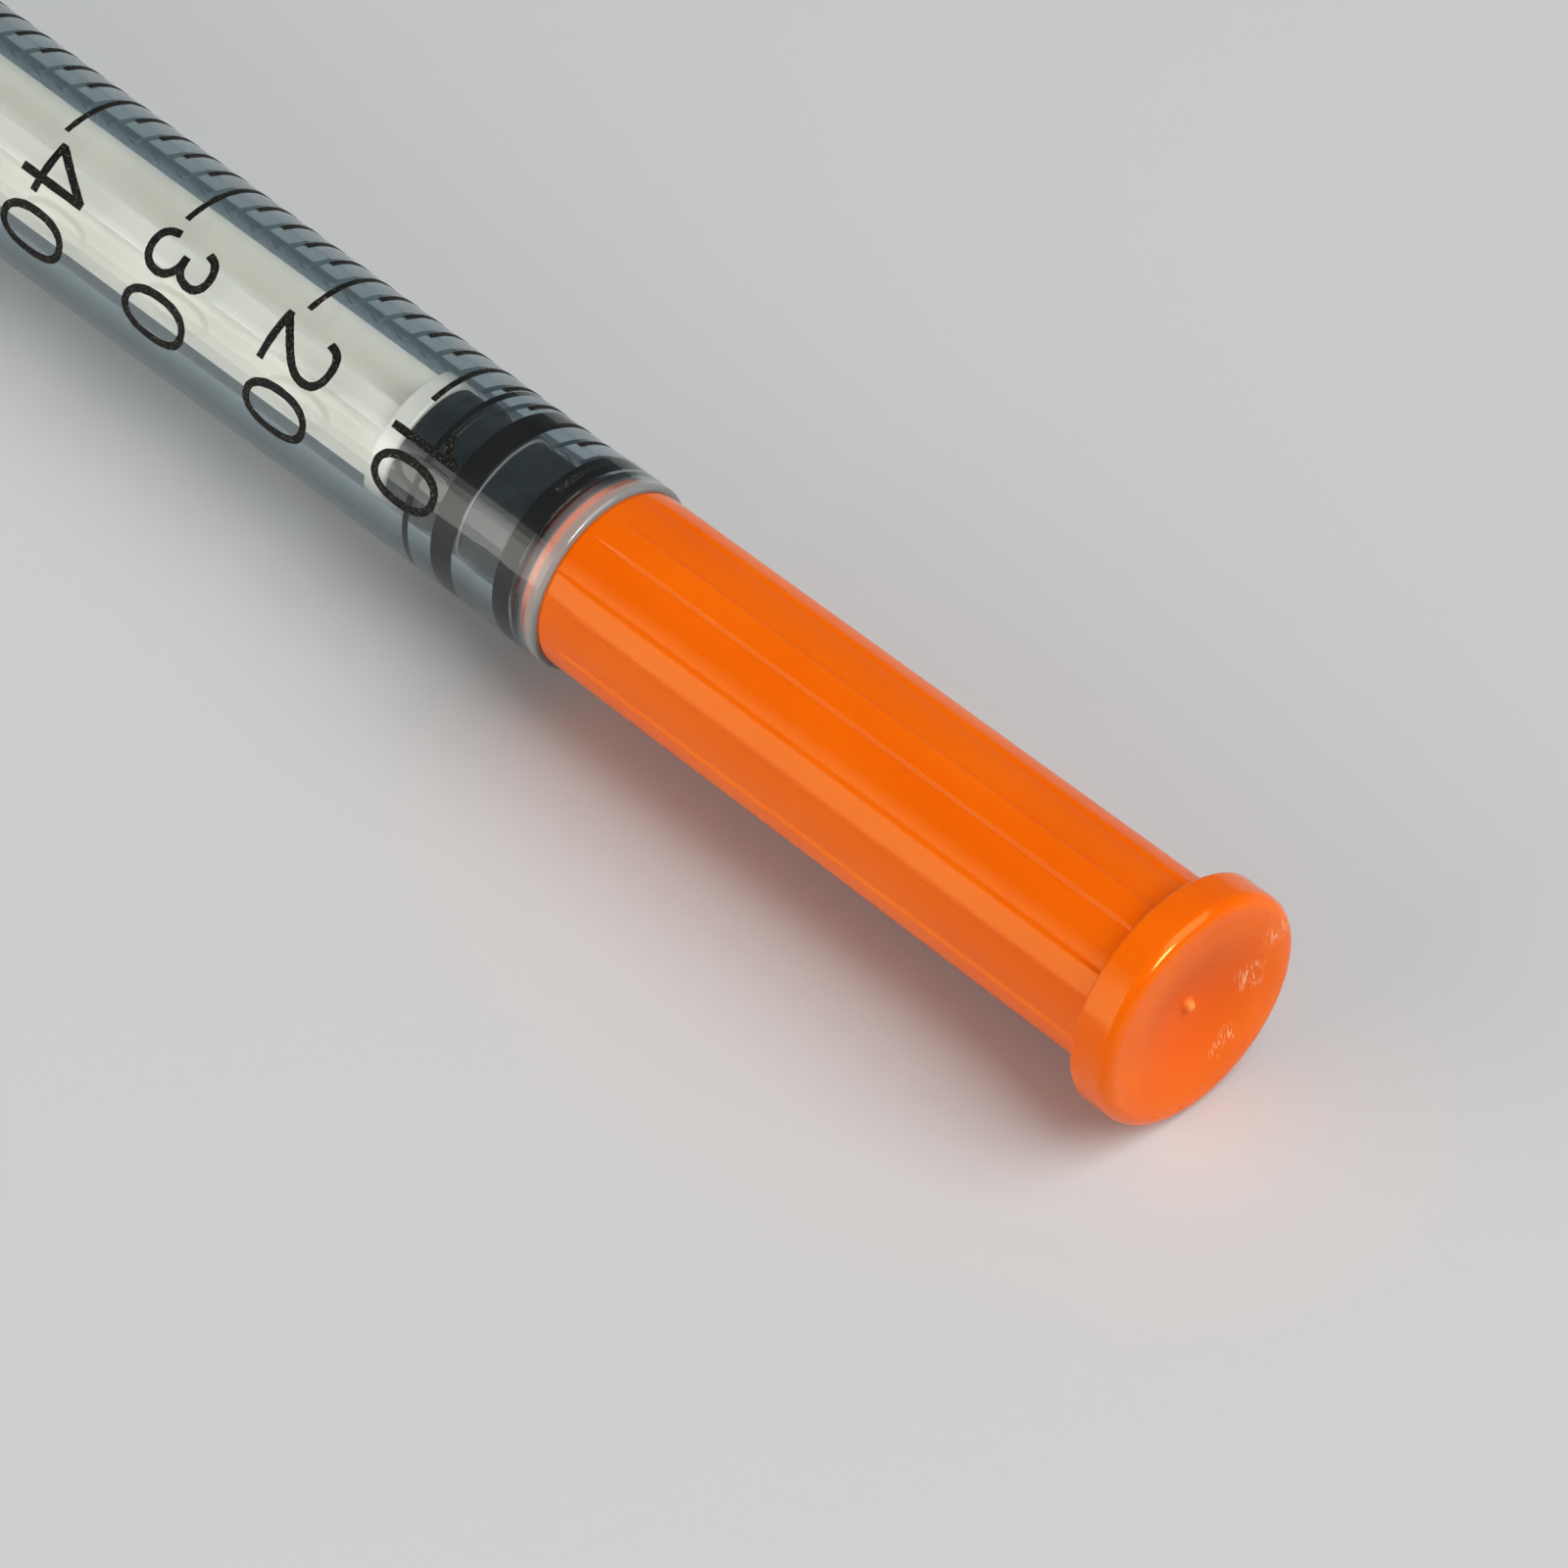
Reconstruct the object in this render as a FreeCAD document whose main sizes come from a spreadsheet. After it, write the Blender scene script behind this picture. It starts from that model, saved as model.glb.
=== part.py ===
import FreeCAD, Part
import collections
import math
import os
import types

import Sketcher

# A 1 mL insulin syringe with a fixed needle, lying level on its cap's disc and its finger flange.
# Part frame: +X towards the cap's disc, +Z up, origin under the middle, on the surface it lies on.
# Each piece has its own frame: its origin is the middle of its rear face and its axis runs along +X.

# Driving dimensions in millimetres: name, value, what it measures.
DIMENSIONS = (
    ("barrel_diameter", 6.72, "outside of the clear tube"),
    ("bore_diameter", 4.72, "inside of the tube, 1 mL over the scale"),
    ("scale_length", 57.0, "zero mark to the 100 unit mark"),
    ("barrel_tail", 8.6, "100 unit mark to the rear face of the finger flange"),
    ("front_void", 0.2, "zero mark to the front end of the bore"),
    ("front_wall", 0.55, "front end of the bore to the floor of the cap's seat"),
    ("collar_diameter", 6.84, "outside of the thicker front end"),
    ("collar_length", 2.0, "length of the thicker front end behind the cap's seat"),
    ("lip_depth", 0.85, "depth of the cap's seat"),
    ("lip_wall", 0.28, "wall of the lip round the cap's seat"),
    ("lip_round", 0.16, "rounding of the lip's front edge"),
    ("hub_diameter", 4.3, "straight foot of the hub, which the cap grips"),
    ("hub_foot", 3.2, "length of the hub's foot"),
    ("hub_tip_diameter", 2.6, "front end of the hub's taper"),
    ("hub_length", 6.2, "floor of the cap's seat to the hub's front end"),
    ("hub_round", 0.2, "rounding of the hub's front edge"),
    ("well_diameter", 1.3, "well for the adhesive in the hub's front end"),
    ("well_depth", 3.0, "depth of the adhesive's well"),
    ("flange_span", 15.2, "finger flange from tip to tip"),
    ("flange_thickness", 1.3, "finger flange along the axis"),
    ("flange_corner", 1.2, "rounding of the finger flange's corners, seen along the axis"),
    ("flange_round", 0.3, "rounding of the finger flange's edges"),
    ("flange_root", 0.5, "fillet between the tube and the finger flange"),
    ("bore_entry", 0.25, "chamfer at the rear end of the bore"),
    ("needle_diameter", 0.33, "outside of the cannula"),
    ("needle_bore", 0.19, "inside of the cannula"),
    ("needle_exposed", 12.7, "cannula in front of the hub"),
    ("needle_seat", 0.4, "cannula behind the floor of the cap's seat"),
    ("bevel_angle", 13.0, "angle in degrees between the needle's bevel and its axis"),
    ("meniscus", 0.25, "adhesive standing in front of the hub"),
    ("meniscus_tip", 0.7, "diameter of the adhesive's front end"),
    ("cap_length", 27.0, "rear end of the cap's spigot to the front of its disc"),
    ("spigot_length", 0.85, "reduced rear end that enters the barrel's lip"),
    ("cap_rear_diameter", 6.46, "cap body between its ribs, at the rear"),
    ("cap_front_diameter", 6.78, "cap body between its ribs, at the disc"),
    ("cap_rib_height", 0.1, "height of the ribs along the cap"),
    ("cap_rib_angle", 17.0, "width of a rib, in degrees about the axis"),
    ("cap_rib_pitch_angle", 45.0, "middle of one rib to the next, in degrees about the axis"),
    ("cap_turn_angle", 11.0, "turn of the cap's ribs about the axis, in degrees"),
    ("cap_rib_setback", 0.35, "plain rear end of the cap body before its ribs"),
    ("rim_diameter", 8.48, "cap's disc, and width of the finger flange over its flats"),
    ("rim_thickness", 1.6, "cap's disc along the axis"),
    ("rim_front_round", 0.4, "rounding of the disc's front edge"),
    ("rim_rear_round", 0.15, "rounding of the disc's rear edge"),
    ("dish_diameter", 6.9, "hollow in the front of the disc"),
    ("dish_depth", 0.55, "depth of the hollow"),
    ("nub_diameter", 0.5, "moulding nub in the middle of the hollow"),
    ("nub_height", 0.2, "height of the moulding nub"),
    ("cap_bore_depth", 24.4, "rear end of the spigot to the blind end of the cap's bore"),
    ("cap_bore_tip", 2.4, "diameter of the blind end of the cap's bore"),
    ("stopper_length", 6.17, "rear face to front face of the rubber stopper"),
    ("stopper_waist", 4.38, "rubber stopper between its ribs"),
    ("stopper_lead", 0.12, "zero mark to the stopper's front face, plunger fully in"),
    ("front_rib_width", 0.72, "front sealing rib"),
    ("front_rib_lead", 0.09, "stopper's front face to the front rib"),
    ("middle_rib_width", 0.94, "middle sealing rib"),
    ("middle_rib_rear", 2.47, "stopper's rear face to the middle rib"),
    ("rear_rib_width", 0.25, "rear wiper rib"),
    ("rear_rib_rear", 1.17, "stopper's rear face to the rear rib"),
    ("rib_slope", 0.1, "length of a rib's sloping side"),
    ("socket_mouth", 2.0, "neck of the socket in the stopper"),
    ("socket_width", 2.9, "cavity of the socket in the stopper"),
    ("socket_neck", 1.2, "length of the socket's neck"),
    ("socket_depth", 3.3, "depth of the socket"),
    ("rod_width", 3.92, "rod from rib tip to rib tip"),
    ("rod_rib", 0.9, "thickness of the rod's crossed ribs"),
    ("rod_fillet", 0.35, "fillet between the rod's ribs"),
    ("rod_collar_diameter", 4.5, "round collar behind the stopper"),
    ("rod_collar", 0.8, "length of the round collar"),
    ("rod_flare", 2.6, "length of the hollow cone behind the collar"),
    ("rod_core", 1.5, "core diameter where the cone runs out between the ribs"),
    ("rod_turn_angle", 33.5, "turn of the rod's ribs about the axis, in degrees"),
    ("thumb_gap", 8.0, "finger flange to the thumb press, plunger fully in"),
    ("thumb_diameter", 8.0, "round thumb press"),
    ("thumb_thickness", 1.3, "thumb press along the axis"),
    ("thumb_round", 0.3, "rounding of the thumb press"),
    ("seal_clearance", 0.03, "stopper ribs to the bore, on the radius"),
    ("head_clearance", 0.05, "rod's head to the stopper's socket"),
    ("cap_clearance", 0.04, "cap's spigot to the lip, and its bore to the hub"),
    ("cap_stop_gap", 0.05, "cap's shoulder and spigot to the barrel, along the axis"),
    ("needle_clearance", 0.015, "cannula to the hole in the hub, on the radius"),
)

FULL_TURN = math.degrees(math.tau)
TOLERANCE = 1e-4

# The points of a sketched segment, in the order that a sketch numbers them from zero.
SEGMENT_POINTS = ("whole", "start", "end", "centre")

# How a sketch names its own origin and axes.
OWN_ORIGIN = (-1, 1)
FIRST_AXIS = -1
SECOND_AXIS = -2

# A corner of an outline: along the axis, off it, and the radius of the arc that starts there.
Corner = collections.namedtuple("Corner", "along off bend", defaults=(None,))

SHEET = "Sizes"
PARTS_FOLDER = "parts"


class Length:
    """A length with the spreadsheet formula that it follows, so that one sum writes both."""

    def __init__(self, value, formula):
        self.value = value
        self.formula = formula

    def __add__(self, other):
        return Length(self.value + other.value, f"({self.formula} + {other.formula})")

    def __sub__(self, other):
        return Length(self.value - other.value, f"({self.formula} - {other.formula})")

    def __neg__(self):
        return Length(-self.value, f"(-{self.formula})")

    def __mul__(self, other):
        if isinstance(other, Length):
            return Length(self.value * other.value, f"({self.formula} * {other.formula})")
        return Length(self.value * other, f"({self.formula} * {other})")

    def __truediv__(self, other):
        if isinstance(other, Length):
            return Length(self.value / other.value, f"({self.formula} / {other.formula})")
        return Length(self.value / other, f"({self.formula} / {other})")


ZERO = Length(0.0, "0")


def fill_sheet(document):
    """Write the driving dimensions into the sheet and return them as named lengths."""
    sheet = document.addObject("Spreadsheet::Sheet", SHEET)
    lengths = {}
    for row, (name, value, note) in enumerate(DIMENSIONS, start=1):
        sheet.set(f"A{row}", name)
        sheet.set(f"B{row}", str(value))
        sheet.set(f"C{row}", note)
        sheet.setAlias(f"B{row}", name)
        lengths[name] = Length(value, f"{SHEET}.{name}")
    document.recompute()
    return types.SimpleNamespace(**lengths)


def origin_plane(body, role):
    """The origin plane of a body that has this role."""
    return next(feature for feature in body.Origin.OriginFeatures if feature.Role == role)


def origin_axis(body, role):
    """The origin axis of a body that has this role, as a feature reference."""
    return (origin_plane(body, role), [""])


def new_sketch(body, name, role):
    """An empty sketch on one of the body's own origin planes."""
    sketch = body.newObject("Sketcher::SketchObject", name)
    sketch.AttachmentSupport = [(origin_plane(body, role), "")]
    sketch.MapMode = "FlatFace"
    return sketch


def point(segment, name):
    """A named point of a segment, as a constraint takes it."""
    return (segment, SEGMENT_POINTS.index(name))


def drive(sketch, constraint, length):
    """Add a dimensional constraint and bind it to its formula."""
    index = sketch.addConstraint(constraint)
    sketch.renameConstraint(index, f"size_{index}")
    sketch.setExpression(f"Constraints.size_{index}", length.formula)


def pin_corner(sketch, segment, corner):
    """Hold the start of a segment at its corner's place along the first axis and off it."""
    start = point(segment, "start")
    if corner.along is ZERO:
        sketch.addConstraint(Sketcher.Constraint("PointOnObject", *start, SECOND_AXIS))
    else:
        hold = Sketcher.Constraint("DistanceX", *OWN_ORIGIN, *start, corner.along.value)
        drive(sketch, hold, corner.along)
    if corner.off is ZERO:
        sketch.addConstraint(Sketcher.Constraint("PointOnObject", *start, FIRST_AXIS))
    else:
        hold = Sketcher.Constraint("DistanceY", *OWN_ORIGIN, *start, corner.off.value)
        drive(sketch, hold, corner.off)


def join_ends(sketch, count):
    """Join each of a ring of segments to the next."""
    for index in range(count):
        following = (index + 1) % count
        ends = point(index, "end") + point(following, "start")
        sketch.addConstraint(Sketcher.Constraint("Coincident", *ends))


def arc_to_the_left(start, end, radius):
    """The arc from start to end that turns about a centre on its left."""
    chord = end - start
    left = FreeCAD.Vector(-chord.y, chord.x, 0) / chord.Length
    reach = math.sqrt(radius ** 2 - chord.Length ** 2 / 4)
    centre = (start + end) / 2 + left * reach
    circle = Part.Circle(centre, FreeCAD.Vector(0, 0, 1), radius)
    from_angle = math.atan2(start.y - centre.y, start.x - centre.x)
    to_angle = math.atan2(end.y - centre.y, end.x - centre.x)
    return Part.ArcOfCircle(circle, from_angle, to_angle)


def outline(body, name, corners, role="XZ_Plane"):
    """A closed outline through corners given as pairs of lengths.

    A third length makes the stretch that starts there an arc of this radius, turning to its left.
    """
    sketch = new_sketch(body, name, role)
    ring = [Corner(*corner) for corner in corners]
    places = [FreeCAD.Vector(corner.along.value, corner.off.value, 0) for corner in ring]
    following = places[1:] + places[:1]
    for corner, start, end in zip(ring, places, following):
        if corner.bend is None:
            sketch.addGeometry(Part.LineSegment(start, end), False)
        else:
            sketch.addGeometry(arc_to_the_left(start, end, corner.bend.value), False)
    join_ends(sketch, len(ring))
    for index, corner in enumerate(ring):
        pin_corner(sketch, index, corner)
        if corner.bend is not None:
            drive(sketch, Sketcher.Constraint("Radius", index, corner.bend.value), corner.bend)
    return sketch


def solid_volume(body):
    """The volume of a body's newest state."""
    body.Document.recompute()
    return body.Tip.Shape.Volume


def sweep_radius(rise, run):
    """Radius of the arc that starts level and rises this far over this run."""
    return (rise * rise + run * run) / (rise * 2)


def revolve(body, name, corners):
    """Add the ring that an outline sweeps round the body's axis."""
    sketch = outline(body, f"{name}_outline", corners)
    feature = body.newObject("PartDesign::Revolution", name)
    feature.Profile = sketch
    feature.ReferenceAxis = origin_axis(body, "X_Axis")
    feature.Angle = FULL_TURN
    sketch.Visibility = False
    return feature


def groove(body, name, corners):
    """Cut the ring that an outline sweeps round the body's axis, and make sure that it cut."""
    before = solid_volume(body)
    sketch = outline(body, f"{name}_outline", corners)
    feature = body.newObject("PartDesign::Groove", name)
    feature.Profile = sketch
    feature.ReferenceAxis = origin_axis(body, "X_Axis")
    feature.Angle = FULL_TURN
    sketch.Visibility = False
    if solid_volume(body) > before - TOLERANCE:
        raise RuntimeError(f"{name} cut nothing")
    return feature


def box_pad(body, name, width, height, length):
    """Add a bar of rectangular section, centred on the axis, from the body's origin along +X."""
    half_width = width / 2
    half_height = height / 2
    corners = [
        (half_width, half_height),
        (-half_width, half_height),
        (-half_width, -half_height),
        (half_width, -half_height),
    ]
    sketch = outline(body, f"{name}_section", corners, "YZ_Plane")
    feature = body.newObject("PartDesign::Pad", name)
    feature.Profile = sketch
    feature.setExpression("Length", length.formula)
    sketch.Visibility = False
    return feature


def round_edges(body, name, radius, wanted):
    """Round the edges of the newest state that the test picks out."""
    body.Document.recompute()
    base = body.Tip
    edges = [f"Edge{index}" for index, edge in enumerate(base.Shape.Edges, start=1) if wanted(edge)]
    if not edges:
        raise RuntimeError(f"{name} found no edges")
    feature = body.newObject("PartDesign::Fillet", name)
    feature.Base = (base, edges)
    feature.setExpression("Radius", radius.formula)
    body.Document.recompute()
    return feature


def ring_at(along, radius):
    """A test for a whole round edge at this place along the axis, with this radius."""

    def wanted(edge):
        if not isinstance(edge.Curve, Part.Circle):
            return False
        same_place = abs(edge.Curve.Center.x - along.value) < TOLERANCE
        return same_place and abs(edge.Curve.Radius - radius.value) < TOLERANCE

    return wanted


def new_body(document, label, origin, turn=ZERO):
    """An empty body whose own origin lies at this place in the part, turned about the axis."""
    body = document.addObject("PartDesign::Body", label)
    body.Label = label
    turned = FreeCAD.Rotation(FreeCAD.Vector(1, 0, 0), turn.value)
    body.Placement = FreeCAD.Placement(FreeCAD.Vector(), turned)
    body.setExpression("Placement.Base.x", origin.x.formula)
    body.setExpression("Placement.Base.z", origin.z.formula)
    if turn is not ZERO:
        body.setExpression("Placement.Rotation.Angle", turn.formula)
    return body


def syringe_stations(size):
    """Places along the part that several pieces share, measured in the barrel's own frame."""
    zero_mark = size.barrel_tail + size.scale_length
    bore_end = zero_mark + size.front_void
    seat_floor = bore_end + size.front_wall
    lip_front = seat_floor + size.lip_depth
    hub_front = seat_floor + size.hub_length
    cap_rear = lip_front + size.cap_stop_gap - size.spigot_length
    stopper_rear = zero_mark + size.stopper_lead - size.stopper_length
    thumb_rear = -(size.thumb_gap + size.thumb_thickness)
    middle = (cap_rear + size.cap_length + thumb_rear) / 2
    return types.SimpleNamespace(
        zero_mark=zero_mark,
        bore_end=bore_end,
        seat_floor=seat_floor,
        lip_front=lip_front,
        hub_front=hub_front,
        cap_rear=cap_rear,
        stopper_rear=stopper_rear,
        thumb_rear=thumb_rear,
        middle=middle,
    )


def origin_at(size, station, along):
    """Where a piece's own origin goes in the part, from its place in the barrel's frame."""
    return types.SimpleNamespace(x=along - station.middle, z=size.rim_diameter / 2)


def finger_flange(body, size):
    """The flange that two fingers pull against: a disc with two flats, which the syringe lies on."""
    sketch = new_sketch(body, "finger_flange_section", "YZ_Plane")
    radius = size.flange_span / 2
    flat = size.rim_diameter / 2
    lean = math.asin(flat.value / radius.value)
    centre = FreeCAD.Vector(0, 0, 0)
    disc = Part.Circle(centre, FreeCAD.Vector(0, 0, 1), radius.value)
    right = Part.ArcOfCircle(disc, -lean, lean)
    left = Part.ArcOfCircle(disc, math.pi - lean, math.pi + lean)
    top = Part.LineSegment(right.EndPoint, left.StartPoint)
    bottom = Part.LineSegment(left.EndPoint, right.StartPoint)
    ring = (right, top, left, bottom)
    for segment in ring:
        sketch.addGeometry(segment, False)
    join_ends(sketch, len(ring))
    for arc in (ring.index(right), ring.index(left)):
        centre_hold = Sketcher.Constraint("Coincident", *point(arc, "centre"), *OWN_ORIGIN)
        sketch.addConstraint(centre_hold)
        drive(sketch, Sketcher.Constraint("Radius", arc, radius.value), radius)
    for line, height in ((ring.index(top), flat), (ring.index(bottom), -flat)):
        sketch.addConstraint(Sketcher.Constraint("Horizontal", line))
        start = point(line, "start")
        drive(sketch, Sketcher.Constraint("DistanceY", *OWN_ORIGIN, *start, height.value), height)
    pad = body.newObject("PartDesign::Pad", "finger_flange")
    pad.Profile = sketch
    pad.setExpression("Length", size.flange_thickness.formula)
    sketch.Visibility = False
    round_edges(body, "flange_corners", size.flange_corner, lambda edge: edge.BoundBox.XLength > TOLERANCE)
    round_edges(body, "flange_edges", size.flange_round, lambda edge: edge.BoundBox.XLength < TOLERANCE)


def make_barrel(document, size, station):
    """The clear barrel: finger flange, tube, thicker front end with its lip, and the needle's hub."""
    body = new_body(document, "barrel", origin_at(size, station, ZERO))
    finger_flange(body, size)

    tube_radius = size.barrel_diameter / 2
    collar_radius = size.collar_diameter / 2
    seat_radius = collar_radius - size.lip_wall
    hub_radius = size.hub_diameter / 2
    hub_tip_radius = size.hub_tip_diameter / 2
    bore_radius = size.bore_diameter / 2
    collar_rear = station.seat_floor - size.collar_length
    foot_front = station.seat_floor + size.hub_foot
    revolve(body, "tube_and_hub", [
        (ZERO, ZERO),
        (ZERO, tube_radius),
        (collar_rear, tube_radius),
        (collar_rear, collar_radius),
        (station.lip_front, collar_radius),
        (station.lip_front, hub_radius),
        (foot_front, hub_radius),
        (station.hub_front, hub_tip_radius),
        (station.hub_front, ZERO),
    ])
    groove(body, "cap_seat", [
        (station.seat_floor, hub_radius),
        (station.seat_floor, seat_radius),
        (station.lip_front, seat_radius),
        (station.lip_front, hub_radius),
    ])
    groove(body, "bore", [
        (ZERO, ZERO),
        (ZERO, bore_radius + size.bore_entry),
        (size.bore_entry, bore_radius),
        (station.bore_end, bore_radius),
        (station.bore_end, ZERO),
    ])
    hole_radius = size.needle_diameter / 2 + size.needle_clearance
    well_radius = size.well_diameter / 2
    well_floor = station.hub_front - size.well_depth
    groove(body, "needle_seat", [
        (station.bore_end, ZERO),
        (station.bore_end, hole_radius),
        (well_floor, hole_radius),
        (well_floor, well_radius),
        (station.hub_front, well_radius),
        (station.hub_front, ZERO),
    ])

    round_edges(body, "flange_root", size.flange_root, ring_at(size.flange_thickness, tube_radius))
    round_edges(body, "lip_edge", size.lip_round, ring_at(station.lip_front, collar_radius))
    round_edges(body, "hub_edge", size.hub_round, ring_at(station.hub_front, hub_tip_radius))
    return body


def make_cannula(document, size, station):
    """The steel needle: a fine tube from the front wall to its ground bevel."""
    rear = station.seat_floor - size.needle_seat
    length = station.hub_front + size.needle_exposed - rear
    body = new_body(document, "needle_cannula", origin_at(size, station, rear))
    outer = size.needle_diameter / 2
    inner = size.needle_bore / 2
    revolve(body, "tube", [
        (ZERO, inner),
        (ZERO, outer),
        (length, outer),
        (length, inner),
    ])
    before = solid_volume(body)
    bevel_length = size.needle_diameter / math.tan(math.radians(size.bevel_angle.value))
    bevel_slope = f"tan({size.bevel_angle.formula} * 1 deg)"
    bevel_rear = Length(
        length.value - bevel_length.value,
        f"({length.formula} - {size.needle_diameter.formula} / {bevel_slope})",
    )
    sketch = outline(body, "bevel_outline", [
        (bevel_rear, outer),
        (length, -outer),
        (length + size.needle_diameter, -outer),
        (length + size.needle_diameter, outer),
    ])
    bevel = body.newObject("PartDesign::Pocket", "bevel")
    bevel.Profile = sketch
    bevel.SideType = "Symmetric"
    bevel.setExpression("Length", (size.needle_diameter * 2).formula)
    sketch.Visibility = False
    if solid_volume(body) > before - TOLERANCE / 10:
        raise RuntimeError("bevel cut nothing")
    return body


def make_adhesive(document, size, station):
    """The bead that fills the hub's well round the cannula and stands a little in front of it."""
    origin = origin_at(size, station, station.hub_front - size.well_depth)
    body = new_body(document, "needle_adhesive", origin)
    needle_radius = size.needle_diameter / 2
    well_radius = size.well_diameter / 2
    revolve(body, "bead", [
        (ZERO, needle_radius),
        (ZERO, well_radius),
        (size.well_depth, well_radius),
        (size.well_depth + size.meniscus, size.meniscus_tip / 2),
        (size.well_depth + size.meniscus, needle_radius),
    ])
    return body


def rubber_rib(rear, width, crest, waist, slope):
    """The four corners of one sealing rib on the stopper, from rear to front."""
    return [
        (rear, waist),
        (rear + slope, crest),
        (rear + width - slope, crest),
        (rear + width, waist),
    ]


def make_stopper(document, size, station):
    """The rubber stopper: a waist, two broad sealing ribs, a thin wiper and the rod's socket."""
    body = new_body(document, "plunger_stopper", origin_at(size, station, station.stopper_rear))
    waist = size.stopper_waist / 2
    crest = size.bore_diameter / 2 - size.seal_clearance
    front_rib_rear = size.stopper_length - size.front_rib_lead - size.front_rib_width
    wiper_slope = size.rib_slope / 2
    corners = [(ZERO, ZERO), (ZERO, waist)]
    corners += rubber_rib(size.rear_rib_rear, size.rear_rib_width, crest, waist, wiper_slope)
    corners += rubber_rib(size.middle_rib_rear, size.middle_rib_width, crest, waist, size.rib_slope)
    corners += rubber_rib(front_rib_rear, size.front_rib_width, crest, waist, size.rib_slope)
    corners += [(size.stopper_length, waist - size.front_rib_lead), (size.stopper_length, ZERO)]
    revolve(body, "rubber", corners)
    mouth = size.socket_mouth / 2
    cavity = size.socket_width / 2
    groove(body, "socket", [
        (ZERO, ZERO),
        (ZERO, mouth),
        (size.socket_neck, mouth),
        (size.socket_neck, cavity),
        (size.socket_depth, cavity),
        (size.socket_depth, ZERO),
    ])
    return body


def make_rod(document, size, station):
    """The white rod: thumb press, crossed ribs, round collar, and a necked head in the stopper."""
    origin = origin_at(size, station, station.thumb_rear)
    body = new_body(document, "plunger_rod", origin, size.rod_turn_angle)
    collar_front = station.stopper_rear - station.thumb_rear
    collar_rear = collar_front - size.rod_collar
    box_pad(body, "upright_rib", size.rod_rib, size.rod_width, collar_rear)
    box_pad(body, "level_rib", size.rod_width, size.rod_rib, collar_rear)

    def between_ribs(edge):
        box = edge.BoundBox
        inner = max(abs(box.YMin), abs(box.YMax), abs(box.ZMin), abs(box.ZMax))
        return box.XLength > size.rod_collar.value and inner < size.rod_rib.value / 2 + TOLERANCE

    round_edges(body, "rib_fillets", size.rod_fillet, between_ribs)
    thumb_radius = size.thumb_diameter / 2
    revolve(body, "thumb_press", [
        (ZERO, ZERO),
        (ZERO, thumb_radius),
        (size.thumb_thickness, thumb_radius),
        (size.thumb_thickness, ZERO),
    ])
    core_radius = size.rod_core / 2
    rib_tip = size.rod_width / 2
    flare = sweep_radius(rib_tip - core_radius, size.rod_flare)
    collar_radius = size.rod_collar_diameter / 2
    neck_radius = size.socket_mouth / 2 - size.head_clearance
    head_radius = size.socket_width / 2 - size.head_clearance
    neck_front = collar_front + size.socket_neck + size.head_clearance
    head_front = collar_front + size.socket_depth - size.head_clearance
    revolve(body, "collar_and_head", [
        (collar_rear - size.rod_flare, ZERO),
        (collar_rear - size.rod_flare, core_radius, flare),
        (collar_rear, rib_tip),
        (collar_rear, collar_radius),
        (collar_front, collar_radius),
        (collar_front, neck_radius),
        (neck_front, neck_radius),
        (neck_front, head_radius),
        (head_front - size.head_clearance, head_radius),
        (head_front, head_radius - size.head_clearance),
        (head_front, ZERO),
    ])

    def thumb_edge(edge):
        ring = isinstance(edge.Curve, Part.Circle)
        return ring and abs(edge.Curve.Radius - thumb_radius.value) < TOLERANCE

    round_edges(body, "thumb_edges", size.thumb_round, thumb_edge)
    return body


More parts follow.
